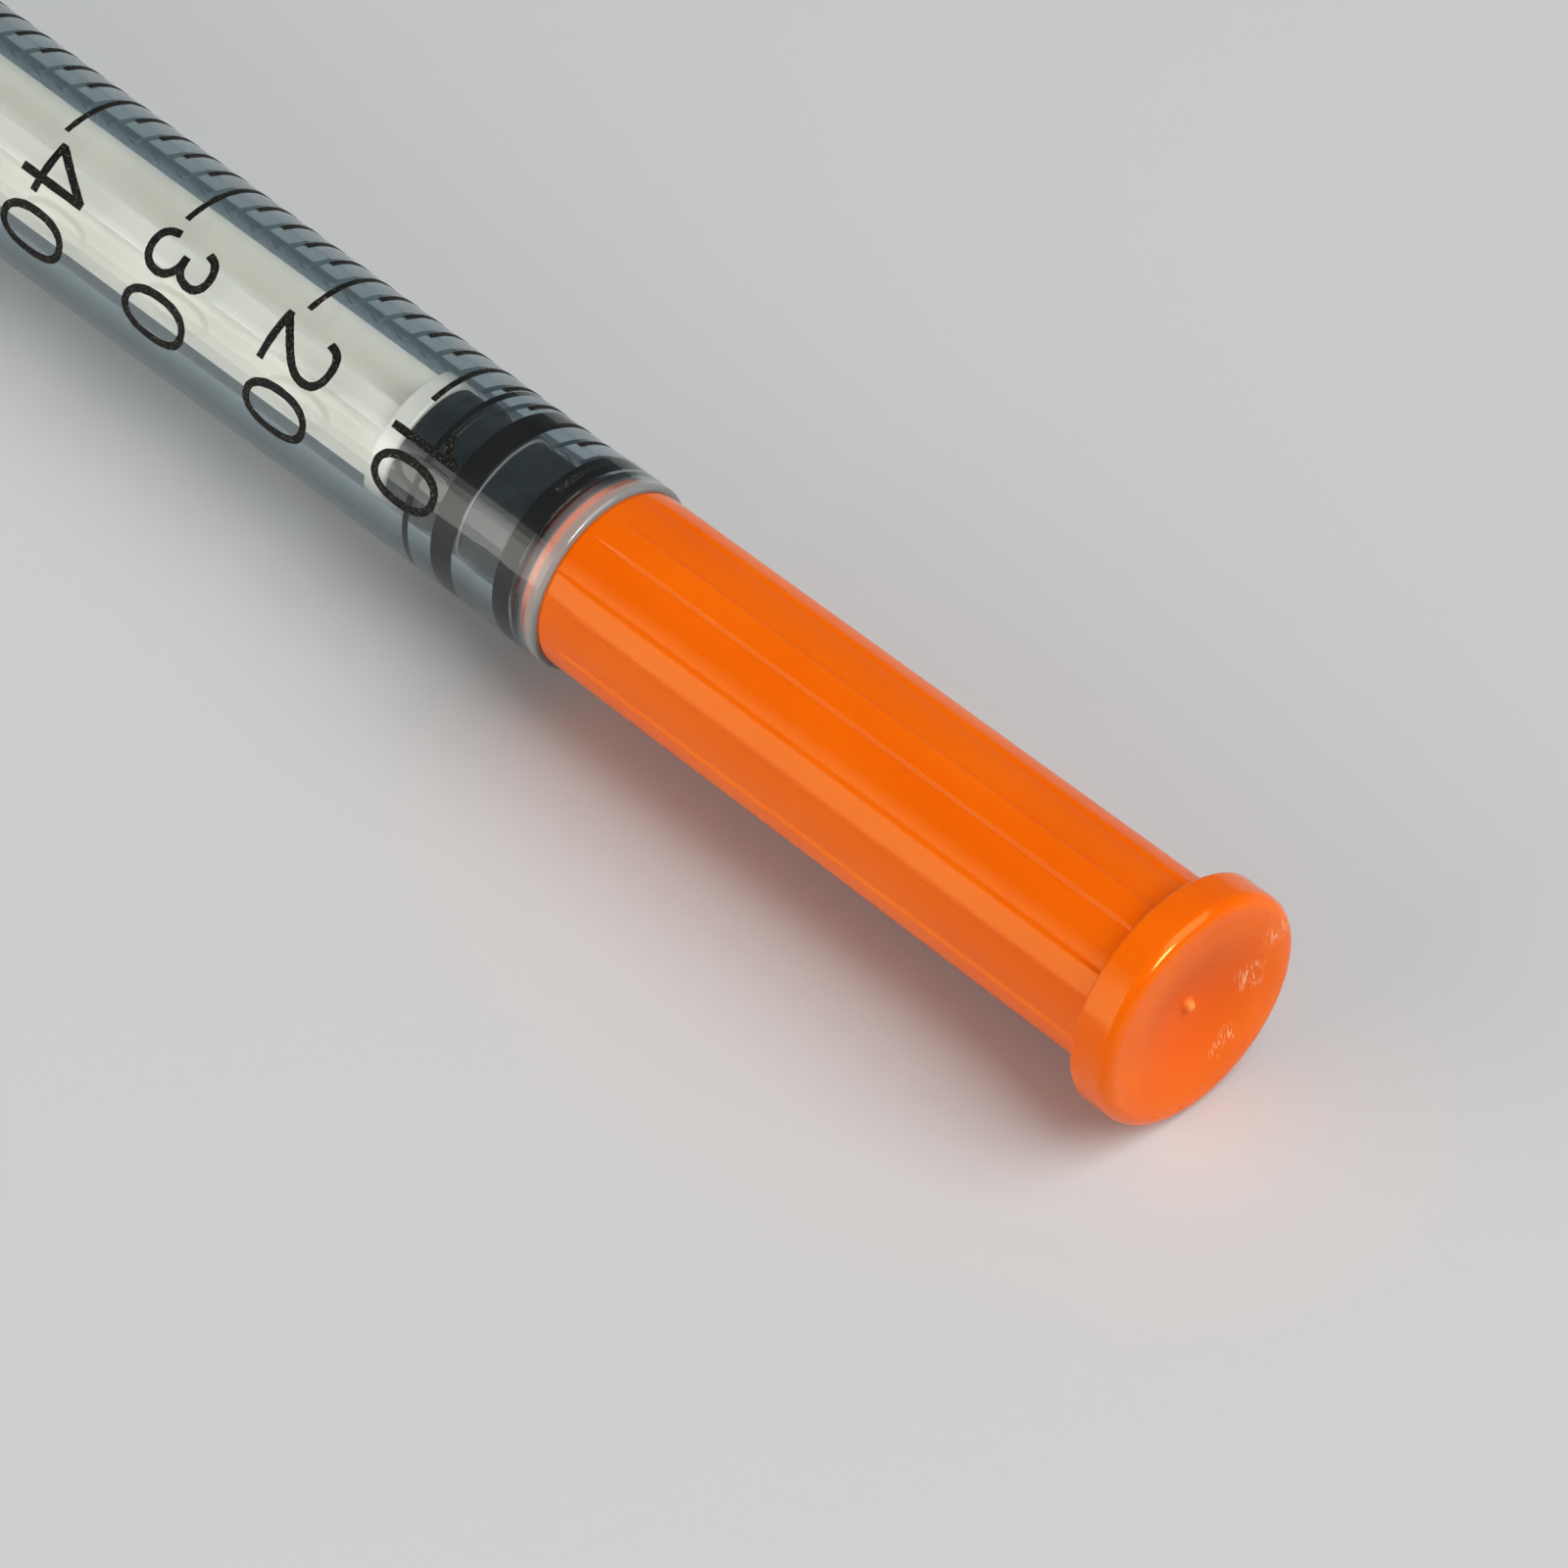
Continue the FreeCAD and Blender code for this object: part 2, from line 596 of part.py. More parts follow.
def make_cap(document, size, station):
    """The needle cap: spigot, tapered body with low ribs, dished disc, and a blind bore."""
    origin = origin_at(size, station, station.cap_rear)
    body = new_body(document, "needle_cap", origin, size.cap_turn_angle)
    seat_radius = size.collar_diameter / 2 - size.lip_wall
    spigot_radius = seat_radius - size.cap_clearance
    rear_radius = size.cap_rear_diameter / 2
    front_radius = size.cap_front_diameter / 2
    rim_radius = size.rim_diameter / 2
    disc_rear = size.cap_length - size.rim_thickness
    revolve(body, "cap_body", [
        (ZERO, ZERO),
        (ZERO, spigot_radius),
        (size.spigot_length, spigot_radius),
        (size.spigot_length, rear_radius),
        (disc_rear, front_radius),
        (disc_rear, rim_radius),
        (size.cap_length, rim_radius),
        (size.cap_length, ZERO),
    ])

    rib_rear = size.spigot_length + size.cap_rib_setback
    root = rear_radius - size.cap_rib_height
    rib_sketch = outline(body, "rib_outline", [
        (rib_rear, root),
        (rib_rear, rear_radius),
        (rib_rear + size.cap_rib_height, rear_radius + size.cap_rib_height),
        (disc_rear + size.cap_rib_height, front_radius + size.cap_rib_height),
        (disc_rear + size.cap_rib_height, root),
    ])
    rib = body.newObject("PartDesign::Revolution", "cap_rib")
    rib.Profile = rib_sketch
    rib.ReferenceAxis = origin_axis(body, "X_Axis")
    rib.Midplane = True
    rib.setExpression("Angle", size.cap_rib_angle.formula)
    rib_sketch.Visibility = False
    ribs = body.newObject("PartDesign::PolarPattern", "cap_ribs")
    ribs.Originals = [rib]
    ribs.Axis = origin_axis(body, "X_Axis")
    ribs.Angle = FULL_TURN
    ribs.Occurrences = round(FULL_TURN / size.cap_rib_pitch_angle.value)
    body.Tip = ribs

    bore_mouth = size.hub_diameter / 2 + size.cap_clearance
    grip_front = size.hub_foot + size.spigot_length
    groove(body, "needle_space", [
        (ZERO, ZERO),
        (ZERO, bore_mouth),
        (grip_front, bore_mouth),
        (size.cap_bore_depth, size.cap_bore_tip / 2),
        (size.cap_bore_depth, ZERO),
    ])
    floor = size.cap_length - size.dish_depth
    nub_radius = size.nub_diameter / 2
    dish_radius = size.dish_diameter / 2
    bowl = sweep_radius(size.dish_depth, dish_radius - nub_radius)
    groove(body, "dish", [
        (floor + size.nub_height, ZERO),
        (size.cap_length, ZERO),
        (size.cap_length, dish_radius, bowl),
        (floor, nub_radius),
        (floor + size.nub_height, nub_radius),
    ])
    round_edges(body, "disc_front_edge", size.rim_front_round, ring_at(size.cap_length, rim_radius))
    round_edges(body, "disc_rear_edge", size.rim_rear_round, ring_at(disc_rear, rim_radius))
    return body


def check_document(document):
    """Stop if any object of the document failed."""
    document.recompute()
    for item in document.Objects:
        if "Invalid" in item.State or "Error" in item.State:
            raise RuntimeError(f"{item.Label} failed: {item.State}")


def check_piece(piece):
    """Stop if a piece is not one sound solid."""
    shape = piece.Shape
    if shape.isNull() or not shape.isValid():
        raise RuntimeError(f"{piece.Label} has no sound shape")
    if len(shape.Solids) != 1:
        raise RuntimeError(f"{piece.Label} is {len(shape.Solids)} solids")


def main():
    document = FreeCAD.newDocument("insulin_syringe")
    size = fill_sheet(document)
    station = syringe_stations(size)
    pieces = [
        make_barrel(document, size, station),
        make_cannula(document, size, station),
        make_adhesive(document, size, station),
        make_stopper(document, size, station),
        make_rod(document, size, station),
        make_cap(document, size, station),
    ]
    check_document(document)
    for piece in pieces:
        check_piece(piece)
    os.makedirs(PARTS_FOLDER, exist_ok=True)
    for piece in pieces:
        piece.Shape.exportStep(os.path.join(PARTS_FOLDER, f"{piece.Label}.step"))
        box = piece.Shape.BoundBox
        print(f"{piece.Label}: {piece.Shape.Volume:.3f} mm3, x {box.XMin:.3f} to {box.XMax:.3f}")


main()
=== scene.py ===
"""A capped insulin syringe on a pale table: clear barrel, printed scale, plunger, needle and cap."""

import math

import bpy
import numpy as np
from mathutils import Matrix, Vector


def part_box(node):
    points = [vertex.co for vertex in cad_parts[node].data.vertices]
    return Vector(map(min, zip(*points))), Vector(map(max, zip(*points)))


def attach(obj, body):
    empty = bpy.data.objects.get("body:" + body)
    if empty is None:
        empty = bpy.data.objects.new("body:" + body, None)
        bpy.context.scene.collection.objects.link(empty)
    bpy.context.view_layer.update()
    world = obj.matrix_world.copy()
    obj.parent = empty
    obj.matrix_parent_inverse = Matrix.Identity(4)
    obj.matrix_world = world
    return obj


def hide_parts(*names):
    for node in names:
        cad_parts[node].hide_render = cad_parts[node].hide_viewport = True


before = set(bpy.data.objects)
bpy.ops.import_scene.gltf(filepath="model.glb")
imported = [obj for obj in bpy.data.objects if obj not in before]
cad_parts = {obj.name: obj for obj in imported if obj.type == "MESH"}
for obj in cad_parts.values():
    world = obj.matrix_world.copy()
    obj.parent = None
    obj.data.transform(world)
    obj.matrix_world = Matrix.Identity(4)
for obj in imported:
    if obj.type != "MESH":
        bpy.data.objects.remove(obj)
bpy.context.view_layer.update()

MM = 0.001


def span(solid):
    """Rear and front end of a solid along the syringe, in millimetres."""
    low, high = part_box(solid)
    return low.x / MM, high.x / MM


# All lengths are in millimetres; x runs from the thumb press to the cap's disc.
FLANGE_REAR, HUB_FRONT = span("barrel")
THUMB_REAR, HEAD_FRONT = span("plunger_rod")
STOPPER_REAR, STOPPER_FRONT = span("plunger_stopper")
CAP_REAR, CAP_FRONT = span("needle_cap")
NEEDLE_REAR, NEEDLE_TIP = span("needle_cannula")
BEAD_REAR, BEAD_FRONT = span("needle_adhesive")
FLANGE_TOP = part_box("barrel")[1].z / MM
AXIS_HEIGHT = FLANGE_TOP / 2

# Places along the barrel.
BARREL_TAIL = 8.6
SCALE_LENGTH = 57.0
ZERO_MARK = FLANGE_REAR + BARREL_TAIL + SCALE_LENGTH
BORE_END = ZERO_MARK + 0.2
SEAT_FLOOR = BORE_END + 0.55
LIP_FRONT = SEAT_FLOOR + 0.85
COLLAR_REAR = SEAT_FLOOR - 2.0
COLLAR_RAMP = 1.1
HUB_TAPER_REAR = SEAT_FLOOR + 3.2
WELL_FLOOR = HUB_FRONT - 3.0

# Radii of the barrel and reaches of its finger flange.
BARREL_RADIUS = 3.36
BORE_RADIUS = 2.36
BORE_FLARE = 0.25
COLLAR_RADIUS = 3.42
SEAT_RADIUS = 3.14
HUB_RADIUS = 2.15
HUB_TIP_RADIUS = 1.3
WELL_RADIUS = 0.65
NEEDLE_HOLE = 0.18
FLANGE_REACH = 7.6
FLANGE_THICKNESS = 1.3
FLANGE_CORNER = 1.2
FLANGE_ROUND = 0.3
FLANGE_FILLET = 0.5

# Print on the barrel.
INK_BED = BARREL_RADIUS - 0.008
INK_TOP = BARREL_RADIUS + 0.012

# Rubber stopper.
WAIST_RADIUS = 2.19
CREST_RADIUS = BORE_RADIUS + 0.02
RIB_SLOPE = 0.05
REAR_RIB = (STOPPER_REAR + 1.17, STOPPER_REAR + 1.42)
MIDDLE_RIB = (STOPPER_REAR + 2.47, STOPPER_REAR + 3.41)
FRONT_RIB = (STOPPER_FRONT - 0.81, STOPPER_FRONT - 0.09)
SOCKET_MOUTH = 1.0
SOCKET_RADIUS = 1.45
SOCKET_STEP = STOPPER_REAR + 1.2
SOCKET_FLOOR = STOPPER_REAR + 3.3

# Plunger rod.
ROD_HALF_WIDTH = 1.96
ROD_RIB = 0.9
ROD_ROOT_FILLET = 0.25
THUMB_RADIUS = 4.0
THUMB_FRONT = THUMB_REAR + 1.3
CONE_LENGTH = 2.6
CONE_CORE = 0.75
ROD_COLLAR_RADIUS = 2.31
ROD_COLLAR_REAR = STOPPER_REAR - 0.8
NECK_RADIUS = 0.95
HEAD_RADIUS = 1.4
HEAD_REAR = STOPPER_REAR + 1.25

# Needle and the adhesive round it.
NEEDLE_RADIUS = 0.165
NEEDLE_BORE = 0.095
BEAD_BORE = NEEDLE_RADIUS - 0.005
BEAD_RADIUS = WELL_RADIUS + 0.005
BEAD_TOP_RADIUS = 0.2

# Needle cap.
SPIGOT_RADIUS = 3.1
CAP_BODY_REAR = CAP_REAR + 0.85
CAP_BODY_RADII = (3.23, 3.39)
CAP_BORE_RADIUS = 2.19
CAP_BORE_TAPER = CAP_REAR + 4.05
CAP_BORE_TIP_RADIUS = 1.2
CAP_BORE_END = CAP_REAR + 24.4
CAP_RIBS = 8
CAP_RIB_PITCH = 360.0 / CAP_RIBS
CAP_RIB_WIDTH = 17.0
CAP_RIB_SIDE = 2.2
CAP_RIB_HEIGHT = 0.1
DISC_RADIUS = 4.24
DISC_REAR = CAP_FRONT - 1.6
HOLLOW_RADIUS = 3.66
HOLLOW_DEPTH = 0.64
NUB_RADIUS = 0.22
NUB_HEIGHT = 0.26

# Directions round the axis, in degrees from +Y towards +Z.
PRINT_MIDDLE = 123.5
CAP_TURN = 11.0
ROD_TURN = 33.5


# Surfaces

def rounded(path, radii, closed=False, steps=6, hold=0.03):
    """A path whose corners are arcs.

    Each arc runs between the two points where it touches the path's runs. It is the rational quadratic
    curve through them whose middle weight is the sine of half the corner's angle, which is a true circle's
    arc. A point is kept just outside each end of an arc, so that flat faces stay flat up to their edges.
    """
    path = np.asarray(path, float)
    if closed:
        path = np.vstack([path[-1:], path, path[:1]])
    corner = path[1:-1]
    radii = np.asarray(radii, float)
    back = path[:-2] - corner
    ahead = path[2:] - corner
    back_run = np.linalg.norm(back, axis=1, keepdims=True)
    ahead_run = np.linalg.norm(ahead, axis=1, keepdims=True)
    back = back / back_run
    ahead = ahead / ahead_run
    half = 0.5 * np.arccos(np.clip((back * ahead).sum(1), -1, 1))
    reach = (radii / np.tan(half))[:, None]
    t = np.linspace(0, 1, steps + 1)[None, :, None]
    weight = np.sin(half)[:, None, None]
    share = (1 - t) ** 2, 2 * weight * t * (1 - t), t ** 2
    start = (corner + back * reach)[:, None]
    end = (corner + ahead * reach)[:, None]
    arcs = (share[0] * start + share[1] * corner[:, None] + share[2] * end) / sum(share)
    extra = np.minimum(radii * 0.3, hold)[:, None]
    before = corner + back * (reach + extra)
    after = corner + ahead * (reach + extra)
    curve = np.concatenate([before[:, None], arcs, after[:, None]], 1).reshape(-1, path.shape[1])
    return curve if closed else np.vstack([path[:1], curve, path[-1:]])


def divided(path, longest, closed=False):
    """The same path with its long runs divided evenly, so that no step is longer than this."""
    ends = np.vstack([path, path[:1]]) if closed else path
    runs = np.linalg.norm(np.diff(ends, axis=0), axis=1)
    counts = np.maximum(1, np.ceil(runs / longest)).astype(int)
    first = np.repeat(np.arange(len(counts)), counts)
    place = np.arange(counts.sum()) - np.repeat(np.cumsum(counts) - counts, counts)
    share = (place / counts[first])[:, None]
    points = ends[first] * (1 - share) + ends[first + 1] * share
    return points if closed else np.vstack([points, ends[-1:]])


def turned(x, radius, angle):
    """Points at this place along the axis, this far off it, at this angle in degrees round it."""
    x, radius, angle = np.broadcast_arrays(x, radius, np.radians(angle))
    return np.stack([x, radius * np.cos(angle), AXIS_HEIGHT + radius * np.sin(angle)], -1)


def even_turn(count):
    """Angles in degrees that divide a full turn evenly."""
    return np.arange(count) * (360.0 / count)


def ring_faces(rings, count, loop, first=0):
    """Four-sided faces between neighbouring rings of points; with loop the last ring meets the first."""
    index = first + np.arange(rings * count).reshape(rings, count)
    here = index if loop else index[:-1]
    ahead = np.roll(index, -1, 0) if loop else index[1:]
    quads = np.stack([here, np.roll(here, -1, 1), np.roll(ahead, -1, 1), ahead], -1)
    return quads.reshape(-1, 4)


def fan_faces(ring, pole, forward):
    """Three-sided faces between one ring of points and its pole."""
    ahead = np.roll(ring, -1)
    sides = (ring, ahead) if forward else (ahead, ring)
    return np.stack([np.full_like(ring, pole), *sides], -1)


def put_mesh(name, points, quads, triangles, material, body, sharp=50):
    """A mesh object from arrays of points and faces, turned outwards by the sign of its volume."""
    a, b, c = (points[quads[:, k]] for k in (0, 1, 2))
    d = points[quads[:, 3]]
    volume = (np.cross(a, b) * c).sum() + (np.cross(a, c) * d).sum()
    if len(triangles):
        a, b, c = (points[triangles[:, k]] for k in (0, 1, 2))
        volume += (np.cross(a, b) * c).sum()
    if volume < 0:
        quads = quads[:, ::-1]
        triangles = triangles[:, ::-1]
    mesh = bpy.data.meshes.new(name)
    mesh.from_pydata((points * MM).tolist(), [], quads.tolist() + triangles.tolist())
    mesh.polygons.foreach_set("use_smooth", np.ones(len(mesh.polygons), bool))
    mesh.set_sharp_from_angle(angle=math.radians(sharp))
    mesh.materials.append(material)
    piece = bpy.data.objects.new(name, mesh)
    bpy.context.scene.collection.objects.link(piece)
    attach(piece, body)
    return piece


NO_TRIANGLES = np.empty((0, 3), int)


def hollow_skin(name, rings, material, body, sharp=50):
    """A closed skin whose rings run out and back through a bore: the last ring meets the first."""
    quads = ring_faces(len(rings), rings.shape[1], True)
    return put_mesh(name, rings.reshape(-1, 3), quads, NO_TRIANGLES, material, body, sharp)


def capped_skin(name, rings, material, body, sharp=50):
    """A closed skin whose first and last ring each close to a pole in their middle."""
    count = rings.shape[1]
    points = np.vstack([rings.reshape(-1, 3), rings[0].mean(0), rings[-1].mean(0)])
    pole = len(points) - 2
    last = np.arange(count) + (len(rings) - 1) * count
    triangles = np.vstack([fan_faces(np.arange(count), pole, False), fan_faces(last, pole + 1, True)])
    return put_mesh(name, points, ring_faces(len(rings), count, False), triangles, material, body, sharp)


def strips(name, sections, material, body):
    """Many closed strips in one mesh, from an array by strip, station along it, corner there and place."""
    many, stations, corners = sections.shape[:3]
    each = stations * corners
    sides = [ring_faces(stations, corners, False, k * each) for k in range(many)]
    first = np.arange(many)[:, None] * each
    half = corners // 2
    low = np.arange(half - 1)
    high = corners - 1 - low
    end = np.stack([low, low + 1, high - 1, high], -1).reshape(-1)
    rear = (first + end[::-1]).reshape(-1, 4)
    front = (first + (stations - 1) * corners + end).reshape(-1, 4)
    quads = np.concatenate([*sides, rear, front])
    return put_mesh(name, sections.reshape(-1, 3), quads, NO_TRIANGLES, material, body)


# Finishes

def new_finish(name, color, roughness, ior=1.5):
    """A material with its shader's plain numbers set."""
    finish = bpy.data.materials.new(name)
    finish.use_nodes = True
    shader = finish.node_tree.nodes["Principled BSDF"]
    shader.inputs["Base Color"].default_value = (*color, 1)
    shader.inputs["Roughness"].default_value = roughness
    shader.inputs["IOR"].default_value = ior
    return finish, shader


def node(finish, kind, **values):
    """A node with its properties set; names with a capital are sockets."""
    made = finish.node_tree.nodes.new(kind)
    for key, value in values.items():
        if key[0].isupper():
            made.inputs[key.replace("_", " ")].default_value = value
        else:
            setattr(made, key, value)
    return made


def join(finish, output, socket):
    """Link an output to a socket."""
    finish.node_tree.links.new(output, socket)


def noise(finish, scale, detail=3.0, roughness=0.5, stretch=(1, 1, 1)):
    """Noise fixed to the piece, with this many cells to the millimetre, drawn out along each axis."""
    place = node(finish, "ShaderNodeTexCoord")
    mapping = node(finish, "ShaderNodeMapping")
    mapping.inputs["Scale"].default_value = [1.0 / s for s in stretch]
    texture = node(finish, "ShaderNodeTexNoise", Scale=scale / MM, Detail=detail, Roughness=roughness)
    join(finish, place.outputs["Object"], mapping.inputs["Vector"])
    join(finish, mapping.outputs["Vector"], texture.inputs["Vector"])
    return texture.outputs["Fac"]


def ramp(finish, factor, low, high, dark, light):
    """A smooth change of colour between two levels of a factor."""
    made = node(finish, "ShaderNodeValToRGB")
    made.color_ramp.interpolation = "EASE"
    made.color_ramp.elements[0].position = low
    made.color_ramp.elements[1].position = high
    made.color_ramp.elements[0].color = (*dark, 1)
    made.color_ramp.elements[1].color = (*light, 1)
    join(finish, factor, made.inputs["Fac"])
    return made.outputs["Color"]


def levels(finish, factor, low, high, start, end):
    """A number that follows a factor from one level to another."""
    made = node(finish, "ShaderNodeMapRange", From_Min=low, From_Max=high, To_Min=start, To_Max=end)
    join(finish, factor, made.inputs["Value"])
    return made.outputs["Result"]


def near(finish, spot, inside, outside):
    """How close a point is to a spot: one within the first reach, none past the second, in mm."""
    place = node(finish, "ShaderNodeTexCoord")
    away = node(finish, "ShaderNodeVectorMath", operation="DISTANCE")
    away.inputs[1].default_value = [s * MM for s in spot]
    join(finish, place.outputs["Object"], away.inputs[0])
    return levels(finish, away.outputs["Value"], inside * MM, outside * MM, 1.0, 0.0)


def off_axis(finish):
    """Distance from the syringe's axis, in metres."""
    place = node(finish, "ShaderNodeTexCoord")
    flat = node(finish, "ShaderNodeMapping")
    flat.inputs["Location"].default_value = (0, 0, -AXIS_HEIGHT * MM)
    flat.inputs["Scale"].default_value = (0, 1, 1)
    length = node(finish, "ShaderNodeVectorMath", operation="LENGTH")
    join(finish, place.outputs["Object"], flat.inputs["Vector"])
    join(finish, flat.outputs["Vector"], length.inputs[0])
    return length.outputs["Value"]


def station(finish):
    """Place along the syringe, in metres."""
    place = node(finish, "ShaderNodeTexCoord")
    split = node(finish, "ShaderNodeSeparateXYZ")
    join(finish, place.outputs["Object"], split.inputs["Vector"])
    return split.outputs["X"]


def by_radius(finish, low, high, start, end):
    """A number that changes between two distances from the axis, in millimetres."""
    return levels(finish, off_axis(finish), low * MM, high * MM, start, end)


def by_station(finish, low, high, start, end):
    """A number that changes between two places along the syringe, in millimetres."""
    return levels(finish, station(finish), low * MM, high * MM, start, end)


def product(finish, one, other):
    """Two factors multiplied."""
    made = node(finish, "ShaderNodeMath", operation="MULTIPLY")
    join(finish, one, made.inputs[0])
    join(finish, other, made.inputs[1])
    return made.outputs[0]


def greater(finish, one, other):
    """The greater of two factors."""
    made = node(finish, "ShaderNodeMath", operation="MAXIMUM")
    join(finish, one, made.inputs[0])
    join(finish, other, made.inputs[1])
    return made.outputs[0]


def over(finish, factor, color, top):
    """A colour laid over another one where a factor says."""
    made = node(finish, "ShaderNodeMix", data_type="RGBA")
    made.inputs[7].default_value = (*top, 1)
    join(finish, factor, made.inputs[0])
    join(finish, color, made.inputs[6])
    return made.outputs[2]


def relief(finish, height, depth, shader, strength=1.0):
    """A relief of this depth in millimetres on the shader's normal."""
    made = node(finish, "ShaderNodeBump", Strength=strength, Distance=depth * MM)
    join(finish, height, made.inputs["Height"])
    join(finish, made.outputs["Normal"], shader.inputs["Normal"])


def clear_plastic_finish():
    """Clear moulded plastic, blue-grey in its depth, that lets the lamps reach what is inside it.

    Its tint deepens where it is looked along, as it does in a thick clear wall. The finger flange is free
    of that tint, and the lip and the floor of its seat are hazy.
    """
    finish, shader = new_finish("clear_barrel_plastic", (1, 1, 1), 0.03, 1.49)
    shader.inputs["Transmission Weight"].default_value = 1.0
    glance = node(finish, "ShaderNodeLayerWeight", Blend=0.5)
    tint = ramp(finish, glance.outputs["Facing"], 0.24, 0.43, (1.0, 1.0, 1.0), (0.17, 0.25, 0.28))
    in_flange = by_radius(finish, BARREL_RADIUS + 0.2, BARREL_RADIUS + 0.8, 0.0, 1.0)
    tint = over(finish, in_flange, tint, (0.88, 0.93, 0.94))
    at_lip = by_station(finish, LIP_FRONT - 0.44, LIP_FRONT - 0.34, 0.0, 1.0)
    at_seat = by_station(finish, SEAT_FLOOR - 0.1, SEAT_FLOOR + 0.05, 0.0, 0.25)
    in_wall = by_radius(finish, SEAT_RADIUS - 0.14, SEAT_RADIUS - 0.04, 0.0, 1.0)
    rim = product(finish, greater(finish, at_lip, at_seat), in_wall)
    join(finish, over(finish, rim, tint, (0.42, 0.45, 0.44)), shader.inputs["Base Color"])
    join(finish, levels(finish, rim, 0.0, 1.0, 0.03, 0.16), shader.inputs["Roughness"])
    join(finish, levels(finish, rim, 0.0, 1.0, 1.0, 0.6), shader.inputs["Transmission Weight"])
    relief(finish, noise(finish, 0.45, 2.0, 0.4, (5, 1, 1)), 0.004, shader, 0.5)
    tree = finish.node_tree
    out = tree.nodes["Material Output"]
    depth = node(finish, "ShaderNodeVolumeAbsorption")
    depth.inputs["Color"].default_value = (0.48, 0.58, 0.62, 1)
    depth.inputs["Density"].default_value = 140.0
    join(finish, depth.outputs["Volume"], out.inputs["Volume"])
    ray = node(finish, "ShaderNodeLightPath")
    open_shader = node(finish, "ShaderNodeBsdfTransparent")
    open_shader.inputs["Color"].default_value = (0.94, 0.95, 0.955, 1)
    mix = node(finish, "ShaderNodeMixShader")
    either = greater(finish, ray.outputs["Is Shadow Ray"], ray.outputs["Is Diffuse Ray"])
    join(finish, either, mix.inputs[0])
    join(finish, shader.outputs[0], mix.inputs[1])
    join(finish, open_shader.outputs[0], mix.inputs[2])
    join(finish, mix.outputs[0], out.inputs["Surface"])
    return finish


def ink_finish():
    """Black pad-printed ink with fine pinholes and an uneven film; its underside against the plastic is
    painted pale as painted light.
    """
    finish, shader = new_finish("scale_ink", (0.006, 0.006, 0.005), 0.6)
    shader.inputs["Specular IOR Level"].default_value = 0.15
    holes = noise(finish, 14.0, 2.0, 0.55)
    color = ramp(finish, holes, 0.57, 0.72, (0.004, 0.004, 0.0035), (0.13, 0.12, 0.09))
    # The ink's underside, seen through the wall where little light reaches it, is painted pale: painted
    # light.
    underside_painted_light = by_radius(finish, INK_BED, INK_BED + 0.001, 1.0, 0.0)
    join(finish, over(finish, underside_painted_light, color, (0.42, 0.48, 0.50)), shader.inputs["Base Color"])
    relief(finish, noise(finish, 9.0), 0.004, shader, 0.6)
    return finish


def rubber_finish():
    """Dark slate rubber, satin, with painted near-black crests and a painted highlight on the middle rib's
    front edge.
    """
    finish, shader = new_finish("stopper_rubber", (0.014, 0.018, 0.020), 0.42)
    shader.inputs["Specular IOR Level"].default_value = 0.2
    bloom = noise(finish, 1.3, 4.0, 0.6)
    shade = ramp(finish, bloom, 0.35, 0.7, (0.006, 0.010, 0.012), (0.014, 0.022, 0.026))
    # The crests pressed on the wall are painted near black and the waist keeps a lighter slate: painted
    # reflection, for the veil the air gap adds at the waist.
    crest_without_reflection = by_radius(finish, CREST_RADIUS - 0.14, CREST_RADIUS - 0.04, 0.0, 1.0)
    shade = over(finish, crest_without_reflection, shade, (0.002, 0.002, 0.002))
    # A thin pale line painted just ahead of the middle rib's front is a painted highlight.
    rib_front = MIDDLE_RIB[1]
    behind = by_station(finish, rib_front + 0.015, rib_front + 0.025, 0.0, 1.0)
    ahead = by_station(finish, rib_front + 0.035, rib_front + 0.045, 1.0, 0.0)
    edge = product(finish, behind, ahead)
    join(finish, over(finish, edge, shade, (0.30, 0.31, 0.30)), shader.inputs["Base Color"])
    join(finish, levels(finish, noise(finish, 5.0, 3.0), 0.3, 0.7, 0.36, 0.5), shader.inputs["Roughness"])
    relief(finish, noise(finish, 18.0, 3.0, 0.6), 0.004, shader, 0.5)
    return finish


def rod_finish():
    """Creamy white moulded plastic with faint flow marks along the rod."""
    finish, shader = new_finish("rod_plastic", (0.86, 0.84, 0.75), 0.33)
    flow = noise(finish, 1.2, 4.0, 0.55, (9, 1, 1))
    shade = ramp(finish, flow, 0.3, 0.75, (0.83, 0.81, 0.72), (0.89, 0.87, 0.78))
    join(finish, shade, shader.inputs["Base Color"])
    shader.inputs["Subsurface Weight"].default_value = 0.7
    shader.inputs["Subsurface Radius"].default_value = (1.0, 0.95, 0.85)
    shader.inputs["Subsurface Scale"].default_value = 0.8 * MM
    join(finish, levels(finish, noise(finish, 6.0), 0.3, 0.7, 0.28, 0.4), shader.inputs["Roughness"])
    relief(finish, noise(finish, 2.5, 3.0, 0.5, (6, 1, 1)), 0.006, shader, 0.5)
    return finish


# Scuffs on the cap's end, painted pale as glints: place across and up, and reach.
SCUFFS_AND_GLINTS = ((2.43, 4.09, 0.75), (3.3, 5.5, 0.75), (1.36, 2.15, 0.5), (0.81, 1.8, 0.45))


